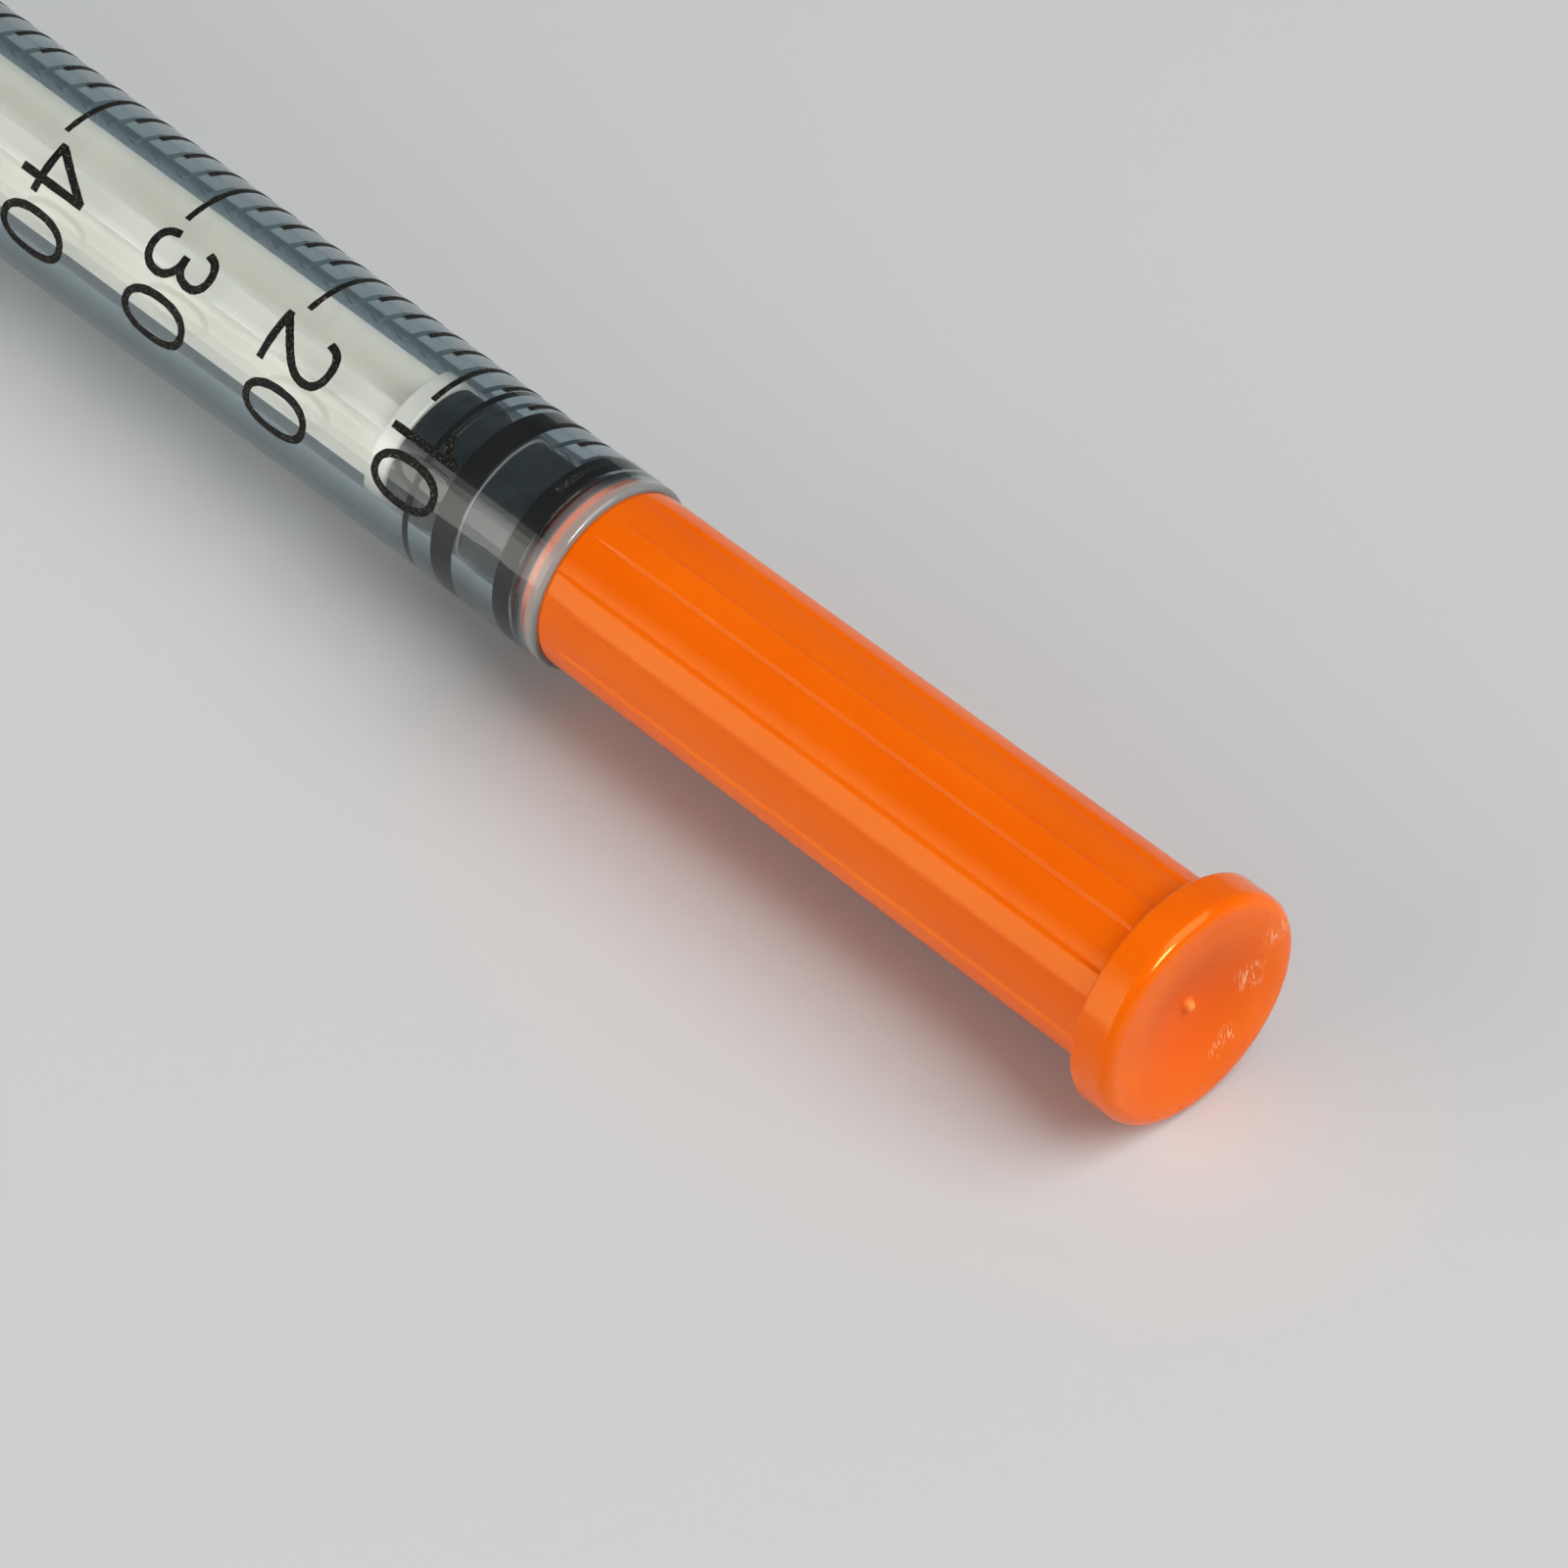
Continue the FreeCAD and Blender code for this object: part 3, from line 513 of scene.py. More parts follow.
def cap_finish():
    """Glossy orange plastic that glows a little where it is thin, with fine drag marks along it.

    The middle of its disc's hollow is painted deeper as painted shade and is less glossy; its nub is
    painted lighter as a painted glow and highlight, and a few real scuffs are painted pale as glints.
    """
    finish, shader = new_finish("cap_plastic", (0.87, 0.13, 0.0005), 0.2)
    shader.inputs["Specular IOR Level"].default_value = 0.34
    shader.inputs["Specular Tint"].default_value = (1.0, 0.88, 0.3, 1)
    drift = noise(finish, 0.35, 3.0, 0.5, (3, 1, 1))
    color = ramp(finish, drift, 0.3, 0.75, (0.85, 0.122, 0.0003), (0.90, 0.146, 0.001))
    face = CAP_FRONT - 0.4
    in_bowl = by_station(finish, CAP_FRONT - 0.9, CAP_FRONT - 0.8, 0.0, 1.0)
    # The middle of the disc's hollow is painted a deeper orange: painted shade in the recess.
    painted_bowl_shade = product(finish, by_radius(finish, 1.4, 3.1, 1.0, 0.0), in_bowl)
    color = over(finish, painted_bowl_shade, color, (0.81, 0.10, 0.0))
    # The nub is painted lighter: a painted glow and highlight on the small bump, over some real scuffing
    # of its gate.
    nub = near(finish, (face, 0.0, AXIS_HEIGHT), 0.1, 0.36)
    color = over(finish, nub, color, (0.95, 0.30, 0.06))
    # Scratches on the disc's end are painted pale orange: real scuffs shown as painted glints.
    scratch_glints = levels(finish, noise(finish, 15.0, 2.0, 0.6, (1, 1.2, 7)), 0.50, 0.60, 0.0, 1.0)
    for y, z, reach in SCUFFS_AND_GLINTS:
        scuff_glint = product(finish, near(finish, (face, y, z), 0.0, reach), scratch_glints)
        color = over(finish, scuff_glint, color, (1.0, 0.68, 0.40))
    join(finish, color, shader.inputs["Base Color"])
    shader.inputs["Subsurface Weight"].default_value = 0.3
    shader.inputs["Subsurface Radius"].default_value = (1.0, 0.28, 0.03)
    shader.inputs["Subsurface Scale"].default_value = 0.9 * MM
    gloss = levels(finish, noise(finish, 3.0, 4.0), 0.3, 0.7, 0.1, 0.17)
    bowl = product(finish, by_radius(finish, 3.3, 4.0, 1.0, 0.0), in_bowl)
    matt = node(finish, "ShaderNodeMath", operation="MULTIPLY_ADD")
    matt.inputs[1].default_value = 0.36
    join(finish, bowl, matt.inputs[0])
    join(finish, gloss, matt.inputs[2])
    join(finish, matt.outputs[0], shader.inputs["Roughness"])
    relief(finish, noise(finish, 4.0, 3.0, 0.5, (14, 1, 1)), 0.003, shader, 0.5)
    return finish


def steel_finish():
    """Drawn and polished stainless steel with fine lines along the needle."""
    finish, shader = new_finish("needle_steel", (0.72, 0.73, 0.75), 0.16)
    shader.inputs["Metallic"].default_value = 1.0
    lines = noise(finish, 40.0, 2.0, 0.5, (60, 1, 1))
    join(finish, levels(finish, lines, 0.3, 0.7, 0.1, 0.24), shader.inputs["Roughness"])
    shade = ramp(finish, lines, 0.3, 0.7, (0.66, 0.67, 0.69), (0.78, 0.79, 0.80))
    join(finish, shade, shader.inputs["Base Color"])
    relief(finish, lines, 0.001, shader, 0.4)
    return finish


def bead_finish():
    """Cured adhesive, nearly clear, with a little yellow and a few cloudy spots."""
    finish, shader = new_finish("bead_adhesive", (0.86, 0.86, 0.78), 0.12)
    cloud = noise(finish, 3.0, 3.0)
    shade = ramp(finish, cloud, 0.3, 0.75, (0.80, 0.80, 0.70), (0.90, 0.90, 0.84))
    join(finish, shade, shader.inputs["Base Color"])
    shader.inputs["Transmission Weight"].default_value = 0.55
    relief(finish, noise(finish, 4.0), 0.004, shader, 0.4)
    return finish


# Barrel

def flange_outline(angle):
    """Reach of the finger flange at each angle: a disc with two level flats, its corners rounded.

    In the first quarter a point lies on the disc up to where the corner's arc starts, on the flat past
    where it ends, and between them where a ray from the axis meets the corner's circle.
    """
    flat = AXIS_HEIGHT
    lean = np.arcsin(np.abs(np.sin(np.radians(angle))))
    inner = FLANGE_REACH - FLANGE_CORNER
    arc_start = math.asin((flat - FLANGE_CORNER) / inner)
    arc_end = math.atan2(flat, inner * math.cos(arc_start))
    off = lean - arc_start
    chord = np.sqrt(np.maximum(FLANGE_CORNER ** 2 - (inner * np.sin(off)) ** 2, 0))
    on_corner = inner * np.cos(off) + chord
    on_flat = flat / np.maximum(np.sin(lean), 0.1)
    return np.where(lean <= arc_start, FLANGE_REACH, np.where(lean >= arc_end, on_flat, on_corner))


def make_barrel(finish):
    """The clear barrel as one skin: out over flange, tube, lip and hub, back through well and bore.

    The profile is turned round the axis. In the finger flange its radius is stretched so that the rounded
    edge keeps its size while its reach follows the flange's outline. A corner of the profile is given by
    its place, its radius and its rounding.
    """
    profile = np.array([
        (FLANGE_REAR, BORE_RADIUS + BORE_FLARE, 0.08),
        (FLANGE_REAR, FLANGE_REACH, FLANGE_ROUND),
        (FLANGE_REAR + FLANGE_THICKNESS, FLANGE_REACH, FLANGE_ROUND),
        (FLANGE_REAR + FLANGE_THICKNESS, BARREL_RADIUS, FLANGE_FILLET),
        (COLLAR_REAR, BARREL_RADIUS, 9.0),
        (COLLAR_REAR + COLLAR_RAMP, COLLAR_RADIUS, 9.0),
        (LIP_FRONT, COLLAR_RADIUS, 0.16),
        (LIP_FRONT, SEAT_RADIUS, 0.06),
        (SEAT_FLOOR, SEAT_RADIUS, 0.1),
        (SEAT_FLOOR, HUB_RADIUS, 0.15),
        (HUB_TAPER_REAR, HUB_RADIUS, 0.6),
        (HUB_FRONT, HUB_TIP_RADIUS, 0.2),
        (HUB_FRONT, WELL_RADIUS, 0.05),
        (WELL_FLOOR, WELL_RADIUS, 0.08),
        (WELL_FLOOR, NEEDLE_HOLE, 0.03),
        (BORE_END, NEEDLE_HOLE, 0.03),
        (BORE_END, BORE_RADIUS, 0.12),
        (FLANGE_REAR + BORE_FLARE, BORE_RADIUS, 0.08),
    ])
    curve = divided(rounded(profile[:, :2], profile[:, 2], closed=True), 3.0, closed=True)
    angle = even_turn(288)
    x, radius = curve[:, :1], curve[:, 1:]
    root = BARREL_RADIUS + FLANGE_FILLET + 0.01
    edge = FLANGE_ROUND + 0.02
    reach = flange_outline(angle)[None, :]
    stretched = root + (radius - root) * (reach - edge - root) / (FLANGE_REACH - edge - root)
    at_edge = reach - (FLANGE_REACH - radius)
    in_flange = np.where(radius > FLANGE_REACH - edge, at_edge, stretched)
    full = np.where(radius > root, in_flange, radius)
    barrel = hollow_skin("barrel_shell", turned(x, full, angle[None, :]), finish, "barrel_body")
    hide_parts("barrel")


# Printed scale

TICKS = 51
TICK_STEP = SCALE_LENGTH / (TICKS - 1)
TICK_WIDTH = 0.22
TICK_FAR_END = PRINT_MIDDLE - 107.0
MINOR_NEAR_END = PRINT_MIDDLE - 56.5
MAJOR_NEAR_END = PRINT_MIDDLE - 21.4
STROKE = 0.29
NUMERAL_HEIGHT = 2.87
NUMERAL_DROP = 0.53


def ink_section(along, across, half_width, normal):
    """The six corners of an ink strip's section at points of the flattened print, three of them outside.

    The print is flat there, with x along the syringe and arc length round it, and is wrapped onto the tube
    at the end: arc length over the tube's radius is the angle.
    """
    sides = np.array([-1.0, 0.0, 1.0, 1.0, 0.0, -1.0])
    foot = np.array([INK_TOP] * 3 + [INK_BED] * 3)
    x = along[..., None] + normal[..., 0, None] * half_width * sides
    arc = across[..., None] + normal[..., 1, None] * half_width * sides
    return turned(x, np.broadcast_to(foot, x.shape), PRINT_MIDDLE + np.degrees(arc / BARREL_RADIUS))


def make_ticks(finish):
    """The graduations: one every two units, each fifth one longer, as thin strips laid round the tube."""
    number = np.arange(TICKS)
    x = ZERO_MARK - number * TICK_STEP
    near_end = np.where(number % 5 == 0, MAJOR_NEAR_END, MINOR_NEAR_END)
    share = np.linspace(0, 1, 25)[None, :]
    angle = TICK_FAR_END + (near_end[:, None] - TICK_FAR_END) * share
    arc = np.radians(angle - PRINT_MIDDLE) * BARREL_RADIUS
    along = np.broadcast_to(x[:, None], arc.shape)
    waver = 1 + 0.05 * np.sin(arc * 9 + number[:, None] * 2.1) + 0.04 * np.sin(arc * 23 + number[:, None])
    normal = np.stack([waver, np.zeros_like(waver)], -1)
    ticks = strips("scale_ticks", ink_section(along, arc, TICK_WIDTH / 2, normal), finish, "barrel_body")


def curve_through(points, steps):
    """A smooth line through points.

    Between two of them it is the cubic whose slopes are half the step between their neighbours. Past each
    end a further point goes on in a straight line.
    """
    points = np.asarray(points, float)
    padded = np.vstack([2 * points[0] - points[1], points, 2 * points[-1] - points[-2]])
    a, b, c, d = padded[:-3], padded[1:-2], padded[2:-1], padded[3:]
    t = np.linspace(0, 1, steps, endpoint=False)[None, :, None]
    a, b, c, d = (p[:, None] for p in (a, b, c, d))
    bend = (2 * a - 5 * b + 4 * c - d) * t ** 2
    twist = (3 * b - a - 3 * c + d) * t ** 3
    line = 0.5 * (2 * b + (c - a) * t + bend + twist)
    return np.vstack([line.reshape(-1, 2), points[-1:]])


def oval(middle, half_width, half_height, squareness=2.3):
    """A closed oval between an ellipse and its box: each coordinate is a power of the cosine or sine."""
    turn = np.linspace(0, 2 * np.pi, 49)
    across = np.sign(np.cos(turn)) * np.abs(np.cos(turn)) ** (2 / squareness)
    up = np.sign(np.sin(turn)) * np.abs(np.sin(turn)) ** (2 / squareness)
    return np.stack([middle[0] + half_width * across, middle[1] + half_height * up], -1)


def smooth_stroke(*points):
    """A pen stroke through points."""
    return curve_through(points, 8)


def straight_stroke(start, end):
    """A straight pen stroke."""
    share = np.linspace(0, 1, 9)[:, None]
    return np.array(start) * (1 - share) + np.array(end) * share


# Each numeral: its width, and its pen strokes as lines of (across, up), all in millimetres.
SIX = (
    oval((0.90, 0.89), 0.70, 0.745, 2.15),
    smooth_stroke((0.20, 0.95), (0.24, 1.45), (0.40, 2.05), (0.70, 2.55), (1.08, 2.725), (1.38, 2.64),
                  (1.56, 2.38)),
)
NUMERALS = {
    "0": (1.75, (oval((0.875, 1.435), 0.73, 1.29),)),
    "1": (1.00, (
        straight_stroke((0.855, 0.0), (0.855, NUMERAL_HEIGHT)),
        smooth_stroke((0.07, 2.00), (0.38, 2.16), (0.62, 2.38), (0.80, 2.72)),
    )),
    "2": (1.85, (
        smooth_stroke((0.16, 2.06), (0.27, 2.42), (0.53, 2.65), (0.92, 2.725), (1.31, 2.65), (1.60, 2.41),
                      (1.69, 2.05), (1.62, 1.68), (1.40, 1.33), (1.03, 0.96), (0.62, 0.59), (0.16, 0.16)),
        straight_stroke((0.0, 0.145), (1.85, 0.145)),
    )),
    "3": (1.72, (
        smooth_stroke((0.15, 2.11), (0.26, 2.45), (0.52, 2.66), (0.86, 2.725), (1.18, 2.63), (1.38, 2.38),
                      (1.40, 2.06), (1.27, 1.74), (1.00, 1.57), (0.62, 1.53)),
        smooth_stroke((0.62, 1.53), (1.02, 1.50), (1.33, 1.34), (1.52, 1.08), (1.56, 0.78), (1.47, 0.45),
                      (1.22, 0.22), (0.87, 0.145), (0.50, 0.20), (0.25, 0.43), (0.14, 0.80)),
    )),
    "4": (1.85, (
        straight_stroke((1.34, 0.09), (1.34, NUMERAL_HEIGHT)),
        straight_stroke((0.0, 0.925), (1.85, 0.925)),
        smooth_stroke((1.32, 2.76), (0.72, 1.86), (0.11, 0.95)),
    )),
    "5": (1.75, (
        straight_stroke((0.36, 2.725), (1.56, 2.725)),
        straight_stroke((0.44, 2.80), (0.28, 1.42)),
        smooth_stroke((0.24, 1.46), (0.52, 1.68), (0.90, 1.76), (1.28, 1.65), (1.54, 1.34), (1.61, 0.94),
                      (1.51, 0.53), (1.22, 0.24), (0.86, 0.145), (0.49, 0.21), (0.24, 0.44), (0.14, 0.76)),
    )),
    "6": (1.75, SIX),
    "7": (1.75, (
        straight_stroke((0.08, 2.725), (1.66, 2.725)),
        smooth_stroke((1.60, 2.70), (1.16, 2.02), (0.82, 1.20), (0.64, 0.02)),
    )),
    "8": (1.75, (
        oval((0.875, 2.11), 0.58, 0.615, 2.1),
        oval((0.875, 0.82), 0.71, 0.675, 2.1),
    )),
    "9": (1.75, tuple(np.array([1.75, NUMERAL_HEIGHT]) - stroke for stroke in SIX)),
}
FIRST_LEFT = -0.88
LETTER_GAP = 0.36
ONE_INSET = 0.12


def stroke_sections(stroke, left, base):
    """The sections of one pen stroke, its width square to its line, on the flattened print."""
    steps = np.gradient(stroke, axis=0)
    if np.allclose(stroke[0], stroke[-1]):
        steps[0] = steps[-1] = steps[0] + steps[-1]
    steps = steps / np.linalg.norm(steps, axis=1, keepdims=True)
    place = np.arange(len(stroke))
    waver = 1 + 0.04 * np.sin(place * 1.9 + base) + 0.03 * np.sin(place * 0.7 + left)
    normal = np.stack([steps[:, 0], -steps[:, 1]], -1) * waver[:, None]
    return ink_section(base + stroke[:, 1], left + stroke[:, 0], STROKE / 2, normal)


def make_numerals(finish):
    """The numbers 10 to 100 in plain upright figures, read round the tube, their tops towards the cap."""
    groups = {}
    for tens in range(1, 11):
        left = FIRST_LEFT
        base = ZERO_MARK - tens * 5 * TICK_STEP - NUMERAL_DROP
        for letter in str(tens * 10):
            width, strokes = NUMERALS[letter]
            left += ONE_INSET * (letter == "1")
            for stroke in strokes:
                groups.setdefault(len(stroke), []).append(stroke_sections(stroke, left, base))
            left += width + LETTER_GAP
    pieces = []
    for size, group in groups.items():
        pieces.append(strips(f"numerals_{size}", np.stack(group), finish, "barrel_body"))
    numerals = pieces[0]
    chosen = {"active_object": numerals, "selected_objects": pieces, "selected_editable_objects": pieces}
    with bpy.context.temp_override(**chosen):
        bpy.ops.object.join()
    numerals.name = "scale_numerals"


# Stopper

def make_stopper(finish):
    """The rubber stopper, turned round the axis: socket, rear face, waist, three ribs and front face.

    The crests of the ribs stand a hair into the wall, as rubber pressed flat against it shows no gap.
    """
    profile = [
        (SOCKET_FLOOR, 0.0, 0.0),
        (SOCKET_FLOOR, SOCKET_RADIUS, 0.15),
        (SOCKET_STEP, SOCKET_RADIUS, 0.15),
        (SOCKET_STEP, SOCKET_MOUTH, 0.1),
        (STOPPER_REAR, SOCKET_MOUTH, 0.1),
        (STOPPER_REAR, WAIST_RADIUS, 0.1),
    ]
    for rear, front in (REAR_RIB, MIDDLE_RIB, FRONT_RIB):
        profile += [
            (rear - RIB_SLOPE, WAIST_RADIUS, 0.05),
            (rear, CREST_RADIUS, 0.03),
            (front, CREST_RADIUS, 0.03),
            (front + RIB_SLOPE, WAIST_RADIUS, 0.05),
        ]
    profile = profile[:-1] + [(STOPPER_FRONT, WAIST_RADIUS - 0.05, 0.06), (STOPPER_FRONT, 0.0, 0.0)]
    corners = np.array(profile)
    curve = divided(rounded(corners[:, :2], corners[1:-1, 2]), 0.6)
    rings = turned(curve[1:-1, :1], curve[1:-1, 1:], even_turn(192)[None, :])
    stopper = capped_skin("stopper_rubber", rings, finish, "stopper_body")
    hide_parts("plunger_stopper")


# Rod

def rod_section():
    """Angle and reach of points round the crossed ribs: a cross with rounded tips and filleted roots."""
    half = ROD_RIB / 2
    quarter = np.array([(ROD_HALF_WIDTH, -half), (ROD_HALF_WIDTH, half), (half, half)])
    spin = np.radians(even_turn(4))
    rows = (np.cos(spin), -np.sin(spin)), (np.sin(spin), np.cos(spin))
    turn = np.stack([np.stack(row, -1) for row in rows], 1)
    cross = np.einsum("kij,nj->kni", turn, quarter).reshape(-1, 2)
    rounding = np.tile([0.1, 0.1, 0.35], 4)
    outline = divided(rounded(cross, rounding, closed=True, steps=5), 0.11, closed=True)
    angle = np.degrees(np.arctan2(outline[:, 1], outline[:, 0])) % 360
    order = np.argsort(angle)
    return angle[order], np.hypot(*outline.T)[order]


def make_rod(finish):
    """The plunger rod as one skin: thumb press, crossed ribs, hollow cone, collar, neck and head.

    Each ring has the cross's own angles. Its reach is the greater of the cross's reach and a round core's,
    blended where they meet: the sixteenth root of the sum of their sixteenth powers. The cone's core
    follows an arc that starts level and rises to the ribs' tips.
    """
    angle, cross = rod_section()
    cone_rear = ROD_COLLAR_REAR - CONE_LENGTH
    thumb = np.array([
        (THUMB_REAR, 0.0, 0.0),
        (THUMB_REAR, THUMB_RADIUS, 0.3),
        (THUMB_FRONT, THUMB_RADIUS, 0.3),
        (THUMB_FRONT, 2.5, 0.0),
    ])
    thumb = rounded(thumb[:, :2], thumb[1:-1, 2])[1:]
    swing = np.radians(np.linspace(0, 90, 6))
    root_x = THUMB_FRONT + ROD_ROOT_FILLET * (1 - np.cos(swing))
    root_out = ROD_ROOT_FILLET * (1 - np.sin(swing))
    shaft_x = np.linspace(THUMB_FRONT + ROD_ROOT_FILLET, cone_rear, 24)[1:]
    rise = ROD_HALF_WIDTH - CONE_CORE
    bend = (rise ** 2 + CONE_LENGTH ** 2) / (2 * rise)
    cone_x = cone_rear + CONE_LENGTH * np.linspace(0, 1, 26) ** 0.8
    cone_core = CONE_CORE + bend - np.sqrt(bend ** 2 - (cone_x - cone_rear) ** 2)
    front = np.array([
        (ROD_COLLAR_REAR, ROD_HALF_WIDTH + 0.08, 0.0),
        (ROD_COLLAR_REAR, ROD_COLLAR_RADIUS, 0.08),
        (STOPPER_REAR, ROD_COLLAR_RADIUS, 0.08),
        (STOPPER_REAR, NECK_RADIUS, 0.05),
        (HEAD_REAR, NECK_RADIUS, 0.05),
        (HEAD_REAR, HEAD_RADIUS, 0.06),
        (HEAD_FRONT, HEAD_RADIUS, 0.1),
        (HEAD_FRONT, 0.0, 0.0),
    ])
    front = rounded(front[:, :2], front[1:-1, 2])[:-1]
    blended = (cross[None, :] ** 16 + cone_core[1:, None] ** 16) ** (1 / 16)
    plain = np.ones_like(angle)[None, :]
    x = np.concatenate([thumb[:, 0], root_x, shaft_x, cone_x[1:], front[:, 0]])
    reach = np.vstack([
        thumb[:, 1:] * plain,
        cross[None, :] + root_out[:, None],
        np.repeat(cross[None, :], len(shaft_x), 0),
        blended,
        front[:, 1:] * plain,
    ])
    rings = turned(x[:, None], reach, (angle + ROD_TURN)[None, :])
    rod = capped_skin("plunger_rod_body", rings, finish, "rod_body", 35)
    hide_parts("plunger_rod")


# Needle

def make_needle(finish):
    """The steel tube: outside to the bevel and back through the bore.

    The bevel is three planes, each met by running along the tube until the plane is reached: the main one
    leans 13 degrees to the axis, and two steeper ones, turned to its sides, sharpen the point.
    """
    angle = even_turn(64)[None, :]

    def bevel_x(radius):
        """Where the bevel ends the tube's wall at this distance from its middle, at each angle."""
        lean, side_lean, side_turn = np.radians((13.0, 17.0, 32.0))
        up = radius * np.sin(np.radians(angle))
        out = radius * np.cos(np.radians(angle))
        main = NEEDLE_TIP - (up + NEEDLE_RADIUS) / np.tan(lean)
        side_up = (up + NEEDLE_RADIUS) * np.cos(side_turn)
        slant = np.abs(out) * np.sin(side_turn)
        side = NEEDLE_TIP - (side_up + slant) / np.tan(side_lean)
        return np.minimum(main, side)

    share = np.linspace(0, 1, 12)[:, None]
    out_x = NEEDLE_REAR + (bevel_x(NEEDLE_RADIUS) - NEEDLE_REAR) * share
    in_x = (NEEDLE_REAR + (bevel_x(NEEDLE_BORE) - NEEDLE_REAR) * share)[::-1]
    rings = np.concatenate([turned(out_x, NEEDLE_RADIUS, angle), turned(in_x, NEEDLE_BORE, angle)])
    needle = hollow_skin("needle_tube", rings, finish, "barrel_body", 30)
    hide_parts("needle_cannula")


def make_bead(finish):
    """The adhesive: a plug in the hub's well whose front climbs the needle.

    The climb goes evenly inwards, while its place along the needle rises as the share to the power 2.2.
    """
    share = np.linspace(0, 1, 14)
    climb_rear = HUB_FRONT - 0.04
    climb_foot = BEAD_RADIUS - 0.02
    climb_x = climb_rear + (BEAD_FRONT - climb_rear) * share ** 2.2
    climb_radius = climb_foot + (BEAD_TOP_RADIUS - climb_foot) * share
    plug_x, top_x = [BEAD_REAR, BEAD_REAR, HUB_FRONT - 0.06], [BEAD_FRONT, BEAD_FRONT - 0.05]
    plug_radius, top_radius = [BEAD_BORE, BEAD_RADIUS, BEAD_RADIUS], [BEAD_TOP_RADIUS - 0.01, BEAD_BORE]
    x = np.concatenate([plug_x, climb_x, top_x])
    radius = np.concatenate([plug_radius, climb_radius, top_radius])
    rings = turned(x[:, None], radius[:, None], even_turn(64)[None, :])
    bead = hollow_skin("adhesive_bead", rings, finish, "barrel_body")
    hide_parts("needle_adhesive")


# Cap

def rib_angles():
    """Angles round the cap, closer together at the sides of its ribs."""
    side = CAP_RIB_WIDTH / 2 + np.array([-2.6, -1.7, -1.1, -0.6, -0.2, 0.2, 0.6, 1.1, 1.7, 2.6])
    between = np.array([13.5, 16.5, 19.5])
    half = np.concatenate([[1.0, 3.0, 4.8], side, between])
    one = np.sort(np.concatenate([half, -half]))
    return (np.arange(CAP_RIBS)[:, None] * CAP_RIB_PITCH + one[None, :]).reshape(-1)


def rib_share(angle):
    """How much of a rib's height stands at an angle: level over the rib, a smooth step over its sides."""
    from_middle = np.abs((angle + CAP_RIB_PITCH / 2) % CAP_RIB_PITCH - CAP_RIB_PITCH / 2)
    step = np.clip(0.5 - (from_middle - CAP_RIB_WIDTH / 2) / CAP_RIB_SIDE, 0, 1)
    return step * step * (3 - 2 * step)


def make_cap(finish):
    """The needle cap as one skin: blind bore, spigot, ribbed body, disc and its hollow with a nub.

    The profile is turned round the axis, and the ribs' height is added to its radius along the body. The
    hollow falls from the disc's rounded rim to its middle as half a cosine wave, and the nub is a bell
    curve of the fourth power.
    """
    profile = np.array([
        (CAP_BORE_END, 0.0, 0.0),
        (CAP_BORE_END, CAP_BORE_TIP_RADIUS, 0.35),
        (CAP_BORE_TAPER, CAP_BORE_RADIUS, 0.5),
        (CAP_REAR, CAP_BORE_RADIUS, 0.08),
        (CAP_REAR, SPIGOT_RADIUS, 0.12),
        (CAP_BODY_REAR, SPIGOT_RADIUS, 0.03),
        (CAP_BODY_REAR, CAP_BODY_RADII[0], 0.08),
        (DISC_REAR, CAP_BODY_RADII[1], 0.25),
        (DISC_REAR, DISC_RADIUS, 0.15),
        (CAP_FRONT, DISC_RADIUS, 0.45),
        (CAP_FRONT, HOLLOW_RADIUS, 0.0),
    ])
    outside = divided(rounded(profile[:, :2], profile[1:-1, 2])[1:-1], 1.2)
    bowl_radius = np.concatenate([np.linspace(HOLLOW_RADIUS, 0.5, 30), np.linspace(0.44, 0.02, 15)])
    bowl = CAP_FRONT - HOLLOW_DEPTH * (0.5 + 0.5 * np.cos(np.pi * bowl_radius / HOLLOW_RADIUS))
    nub = NUB_HEIGHT * np.exp(-(bowl_radius / NUB_RADIUS) ** 4)
    inside = np.stack([bowl + nub, bowl_radius], -1)
    curve = np.vstack([outside, inside])
    angle = rib_angles()[None, :]
    x, radius = curve[:, :1], curve[:, 1:]
    rib_rear = CAP_BODY_REAR + 0.3
    rib_reach = CAP_BODY_RADII[1] + 0.36
    start = np.clip((x - rib_rear) / 0.25, 0, 1)
    between = (x > CAP_BODY_REAR) & (x < DISC_REAR + 0.001)
    on_body = between & (radius > SPIGOT_RADIUS + 0.02) & (radius < rib_reach)
    fade = np.clip((rib_reach - radius) / 0.2, 0, 1)
    height = CAP_RIB_HEIGHT * rib_share(angle) * start * start * (3 - 2 * start) * on_body * fade
    rings = turned(x, radius + height, angle + CAP_TURN)
    cap = capped_skin("needle_cap_body", rings, finish, "cap_body")
    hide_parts("needle_cap")


# Table, lamps and camera

# The table is in metres, and its top lies a hair below the syringe.
TABLE_SIDE = 3.0
TABLE_TOP = -2e-5


def make_table():
    """The pale table top that the syringe lies on."""
    finish, shader = new_finish("table_top", (0.60, 0.605, 0.61), 0.55)
    tone = noise(finish, 0.004, 3.0)
    shade = ramp(finish, tone, 0.3, 0.7, (0.585, 0.59, 0.595), (0.615, 0.62, 0.625))
    join(finish, shade, shader.inputs["Base Color"])
    corners = ((-1, -1), (1, -1), (1, 1), (-1, 1))
    points = [(TABLE_SIDE * x, TABLE_SIDE * y, TABLE_TOP) for x, y in corners]
    mesh = bpy.data.meshes.new("table")
    mesh.from_pydata(points, [], [(0, 1, 2, 3)])
    mesh.materials.append(finish)
    table = bpy.data.objects.new("table", mesh)
    bpy.context.scene.collection.objects.link(table)


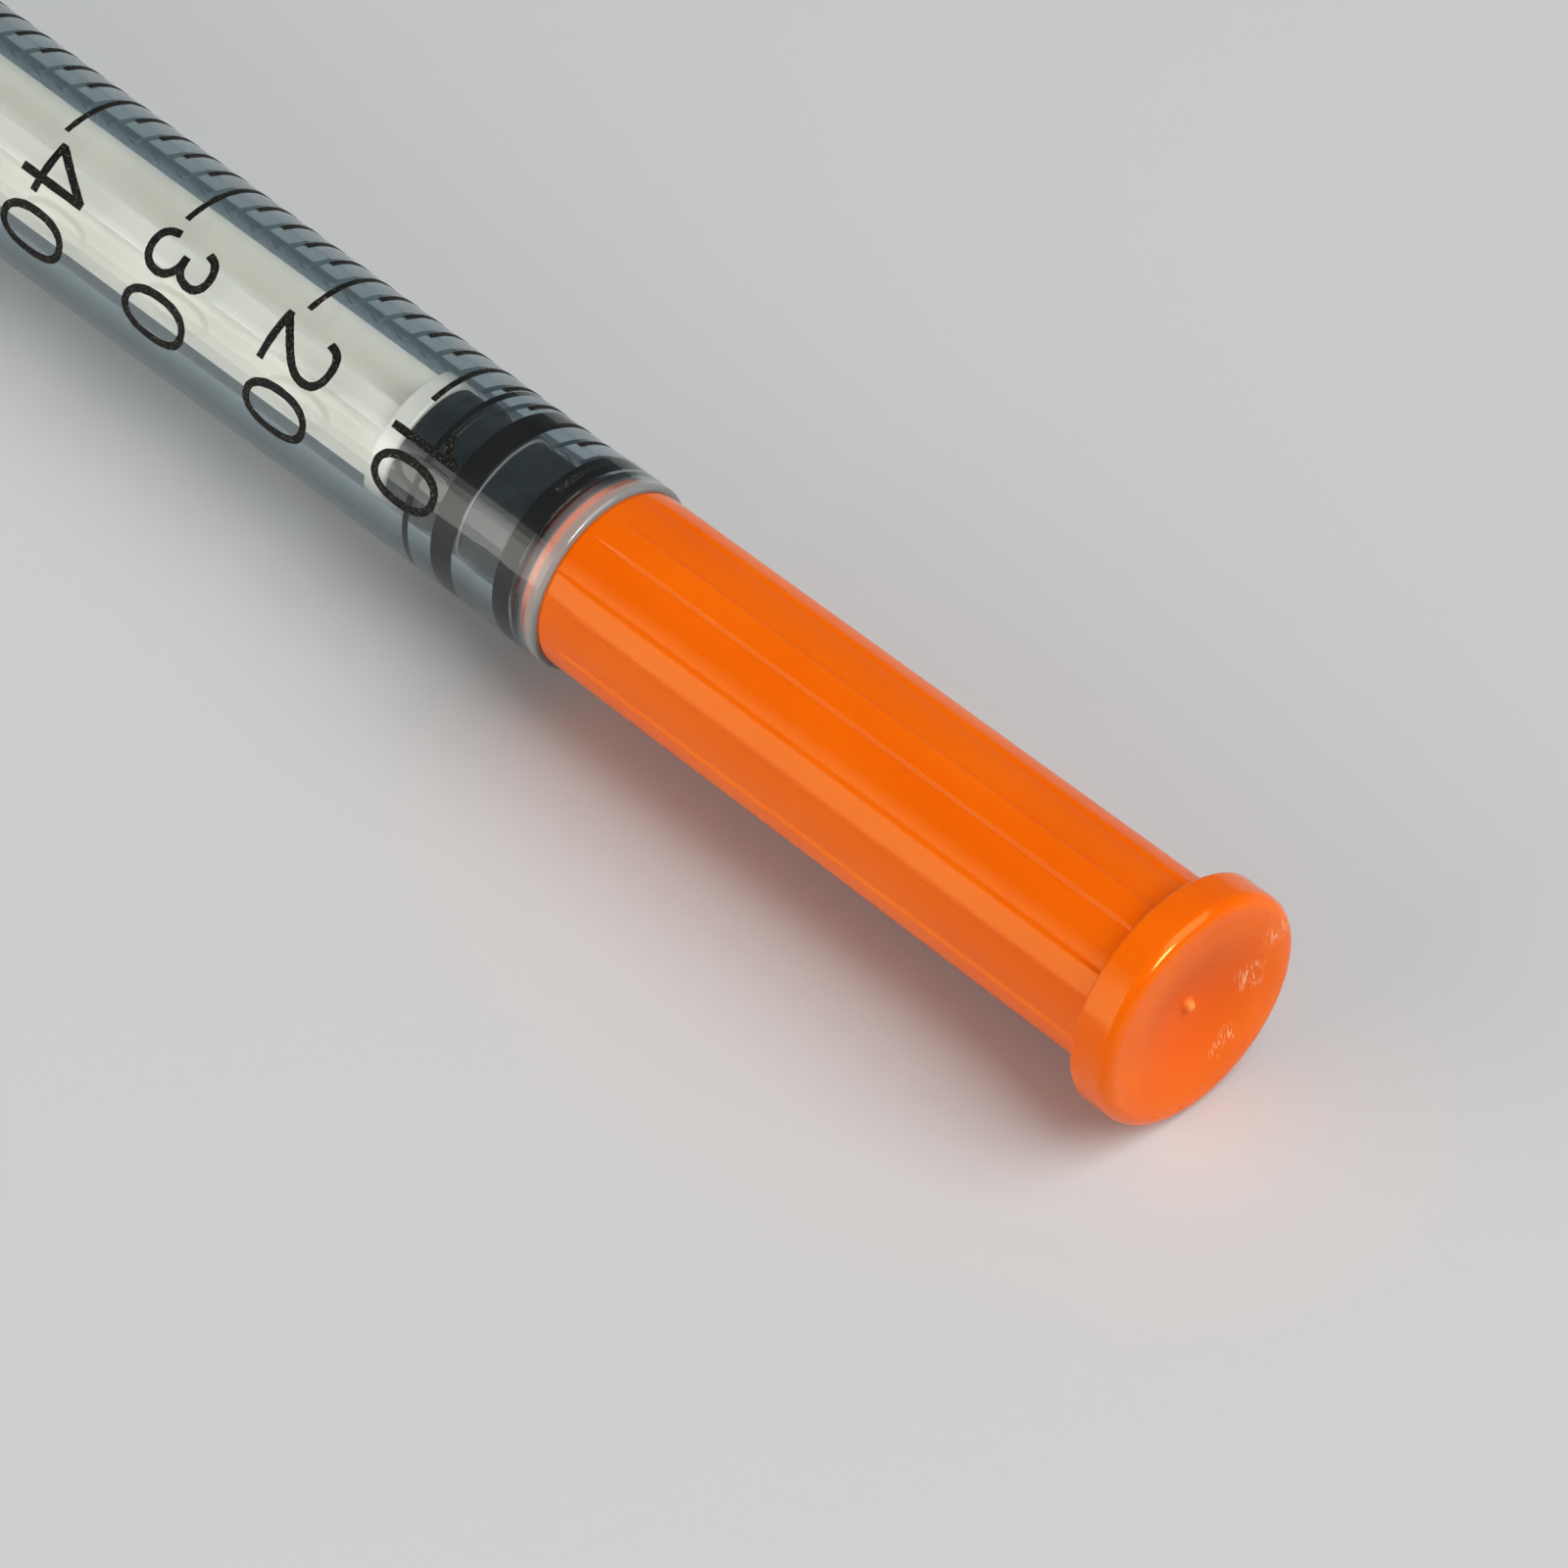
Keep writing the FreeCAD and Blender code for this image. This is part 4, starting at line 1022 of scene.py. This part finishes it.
def make_lamp(name, middle, aim, width, height, radiance, color):
    """A soft box with its width along the syringe. Its places and its size are in metres."""
    lamp = bpy.data.lights.new(name, "AREA")
    lamp.shape = "RECTANGLE"
    lamp.size = width
    lamp.size_y = height
    lamp.energy = radiance * math.pi * width * height
    lamp.color = color
    holder = bpy.data.objects.new(name, lamp)
    back = np.array(middle, float) - np.array(aim, float)
    back /= np.linalg.norm(back)
    right = np.array([1.0, 0.0, 0.0])
    right -= back * (right @ back)
    right /= np.linalg.norm(right)
    up = np.cross(back, right)
    holder.matrix_world = Matrix([
        (right[0], up[0], back[0], middle[0]),
        (right[1], up[1], back[1], middle[1]),
        (right[2], up[2], back[2], middle[2]),
        (0, 0, 0, 1),
    ])
    bpy.context.scene.collection.objects.link(holder)
    return holder


def make_light():
    """The lamps, placed in metres, and a soft grey room.

    On the -Y side three soft boxes of different heights share one foot, so that the light is brighter
    towards it. Another one hangs above the cap's end, and a small lamp gives the disc's rim its spark.
    """
    side_x, aim_height = -0.31, 0.004
    away, foot = 0.55, 181.0
    for top, radiance in ((131.5, 0.75), (140.0, 1.05), (149.0, 1.1)):
        lean = math.radians((top + foot) / 2)
        height = 2 * away * math.tan(math.radians((foot - top) / 2))
        middle = (side_x, away * math.cos(lean), aim_height + away * math.sin(lean))
        aim = (side_x, 0.0, aim_height)
        make_lamp(f"side_softbox_{top:.0f}", middle, aim, 0.74, height, radiance, (1.0, 0.97, 0.91))
    aim = (0.0, 0.0, aim_height)
    make_lamp("top_softbox", (0.40, 0.15, 0.49), aim, 0.62, 0.56, 4.1, (1.0, 0.995, 0.98))
    aim = (0.04, 0.0, aim_height)
    spark = make_lamp("spark_lamp", (0.55, -0.04, 0.34), aim, 0.12, 0.2, 46.0, (1.0, 0.99, 0.97))
    spark.visible_diffuse = False
    world = bpy.data.worlds.new("room")
    bpy.context.scene.world = world
    world.use_nodes = True
    background = world.node_tree.nodes["Background"]
    background.inputs["Color"].default_value = (0.90, 0.96, 1.0, 1)
    background.inputs["Strength"].default_value = 0.20


def make_camera():
    """The camera at the photo's viewing angle, worked out from the scale's marks and the cap's disc."""
    camera = bpy.data.objects.new("camera", bpy.data.cameras.new("camera"))
    camera.data.sensor_width = 36.0
    camera.data.lens = 360.15
    camera.data.clip_start = 0.01
    camera.data.clip_end = 20.0
    camera.matrix_world = Matrix([
        (0.70172, -0.51949, 0.48669, 0.274204),
        (0.71185, 0.51209, -0.47976, -0.237843),
        (0.0, 0.6837, 0.72977, 0.362285),
        (0, 0, 0, 1),
    ])
    bpy.context.scene.collection.objects.link(camera)
    bpy.context.scene.camera = camera


make_barrel(clear_plastic_finish())
ink = ink_finish()
make_ticks(ink)
make_numerals(ink)
make_stopper(rubber_finish())
make_rod(rod_finish())
make_needle(steel_finish())
make_bead(bead_finish())
make_cap(cap_finish())
make_table()
make_light()
make_camera()
bpy.context.scene.view_settings.view_transform = "Standard"
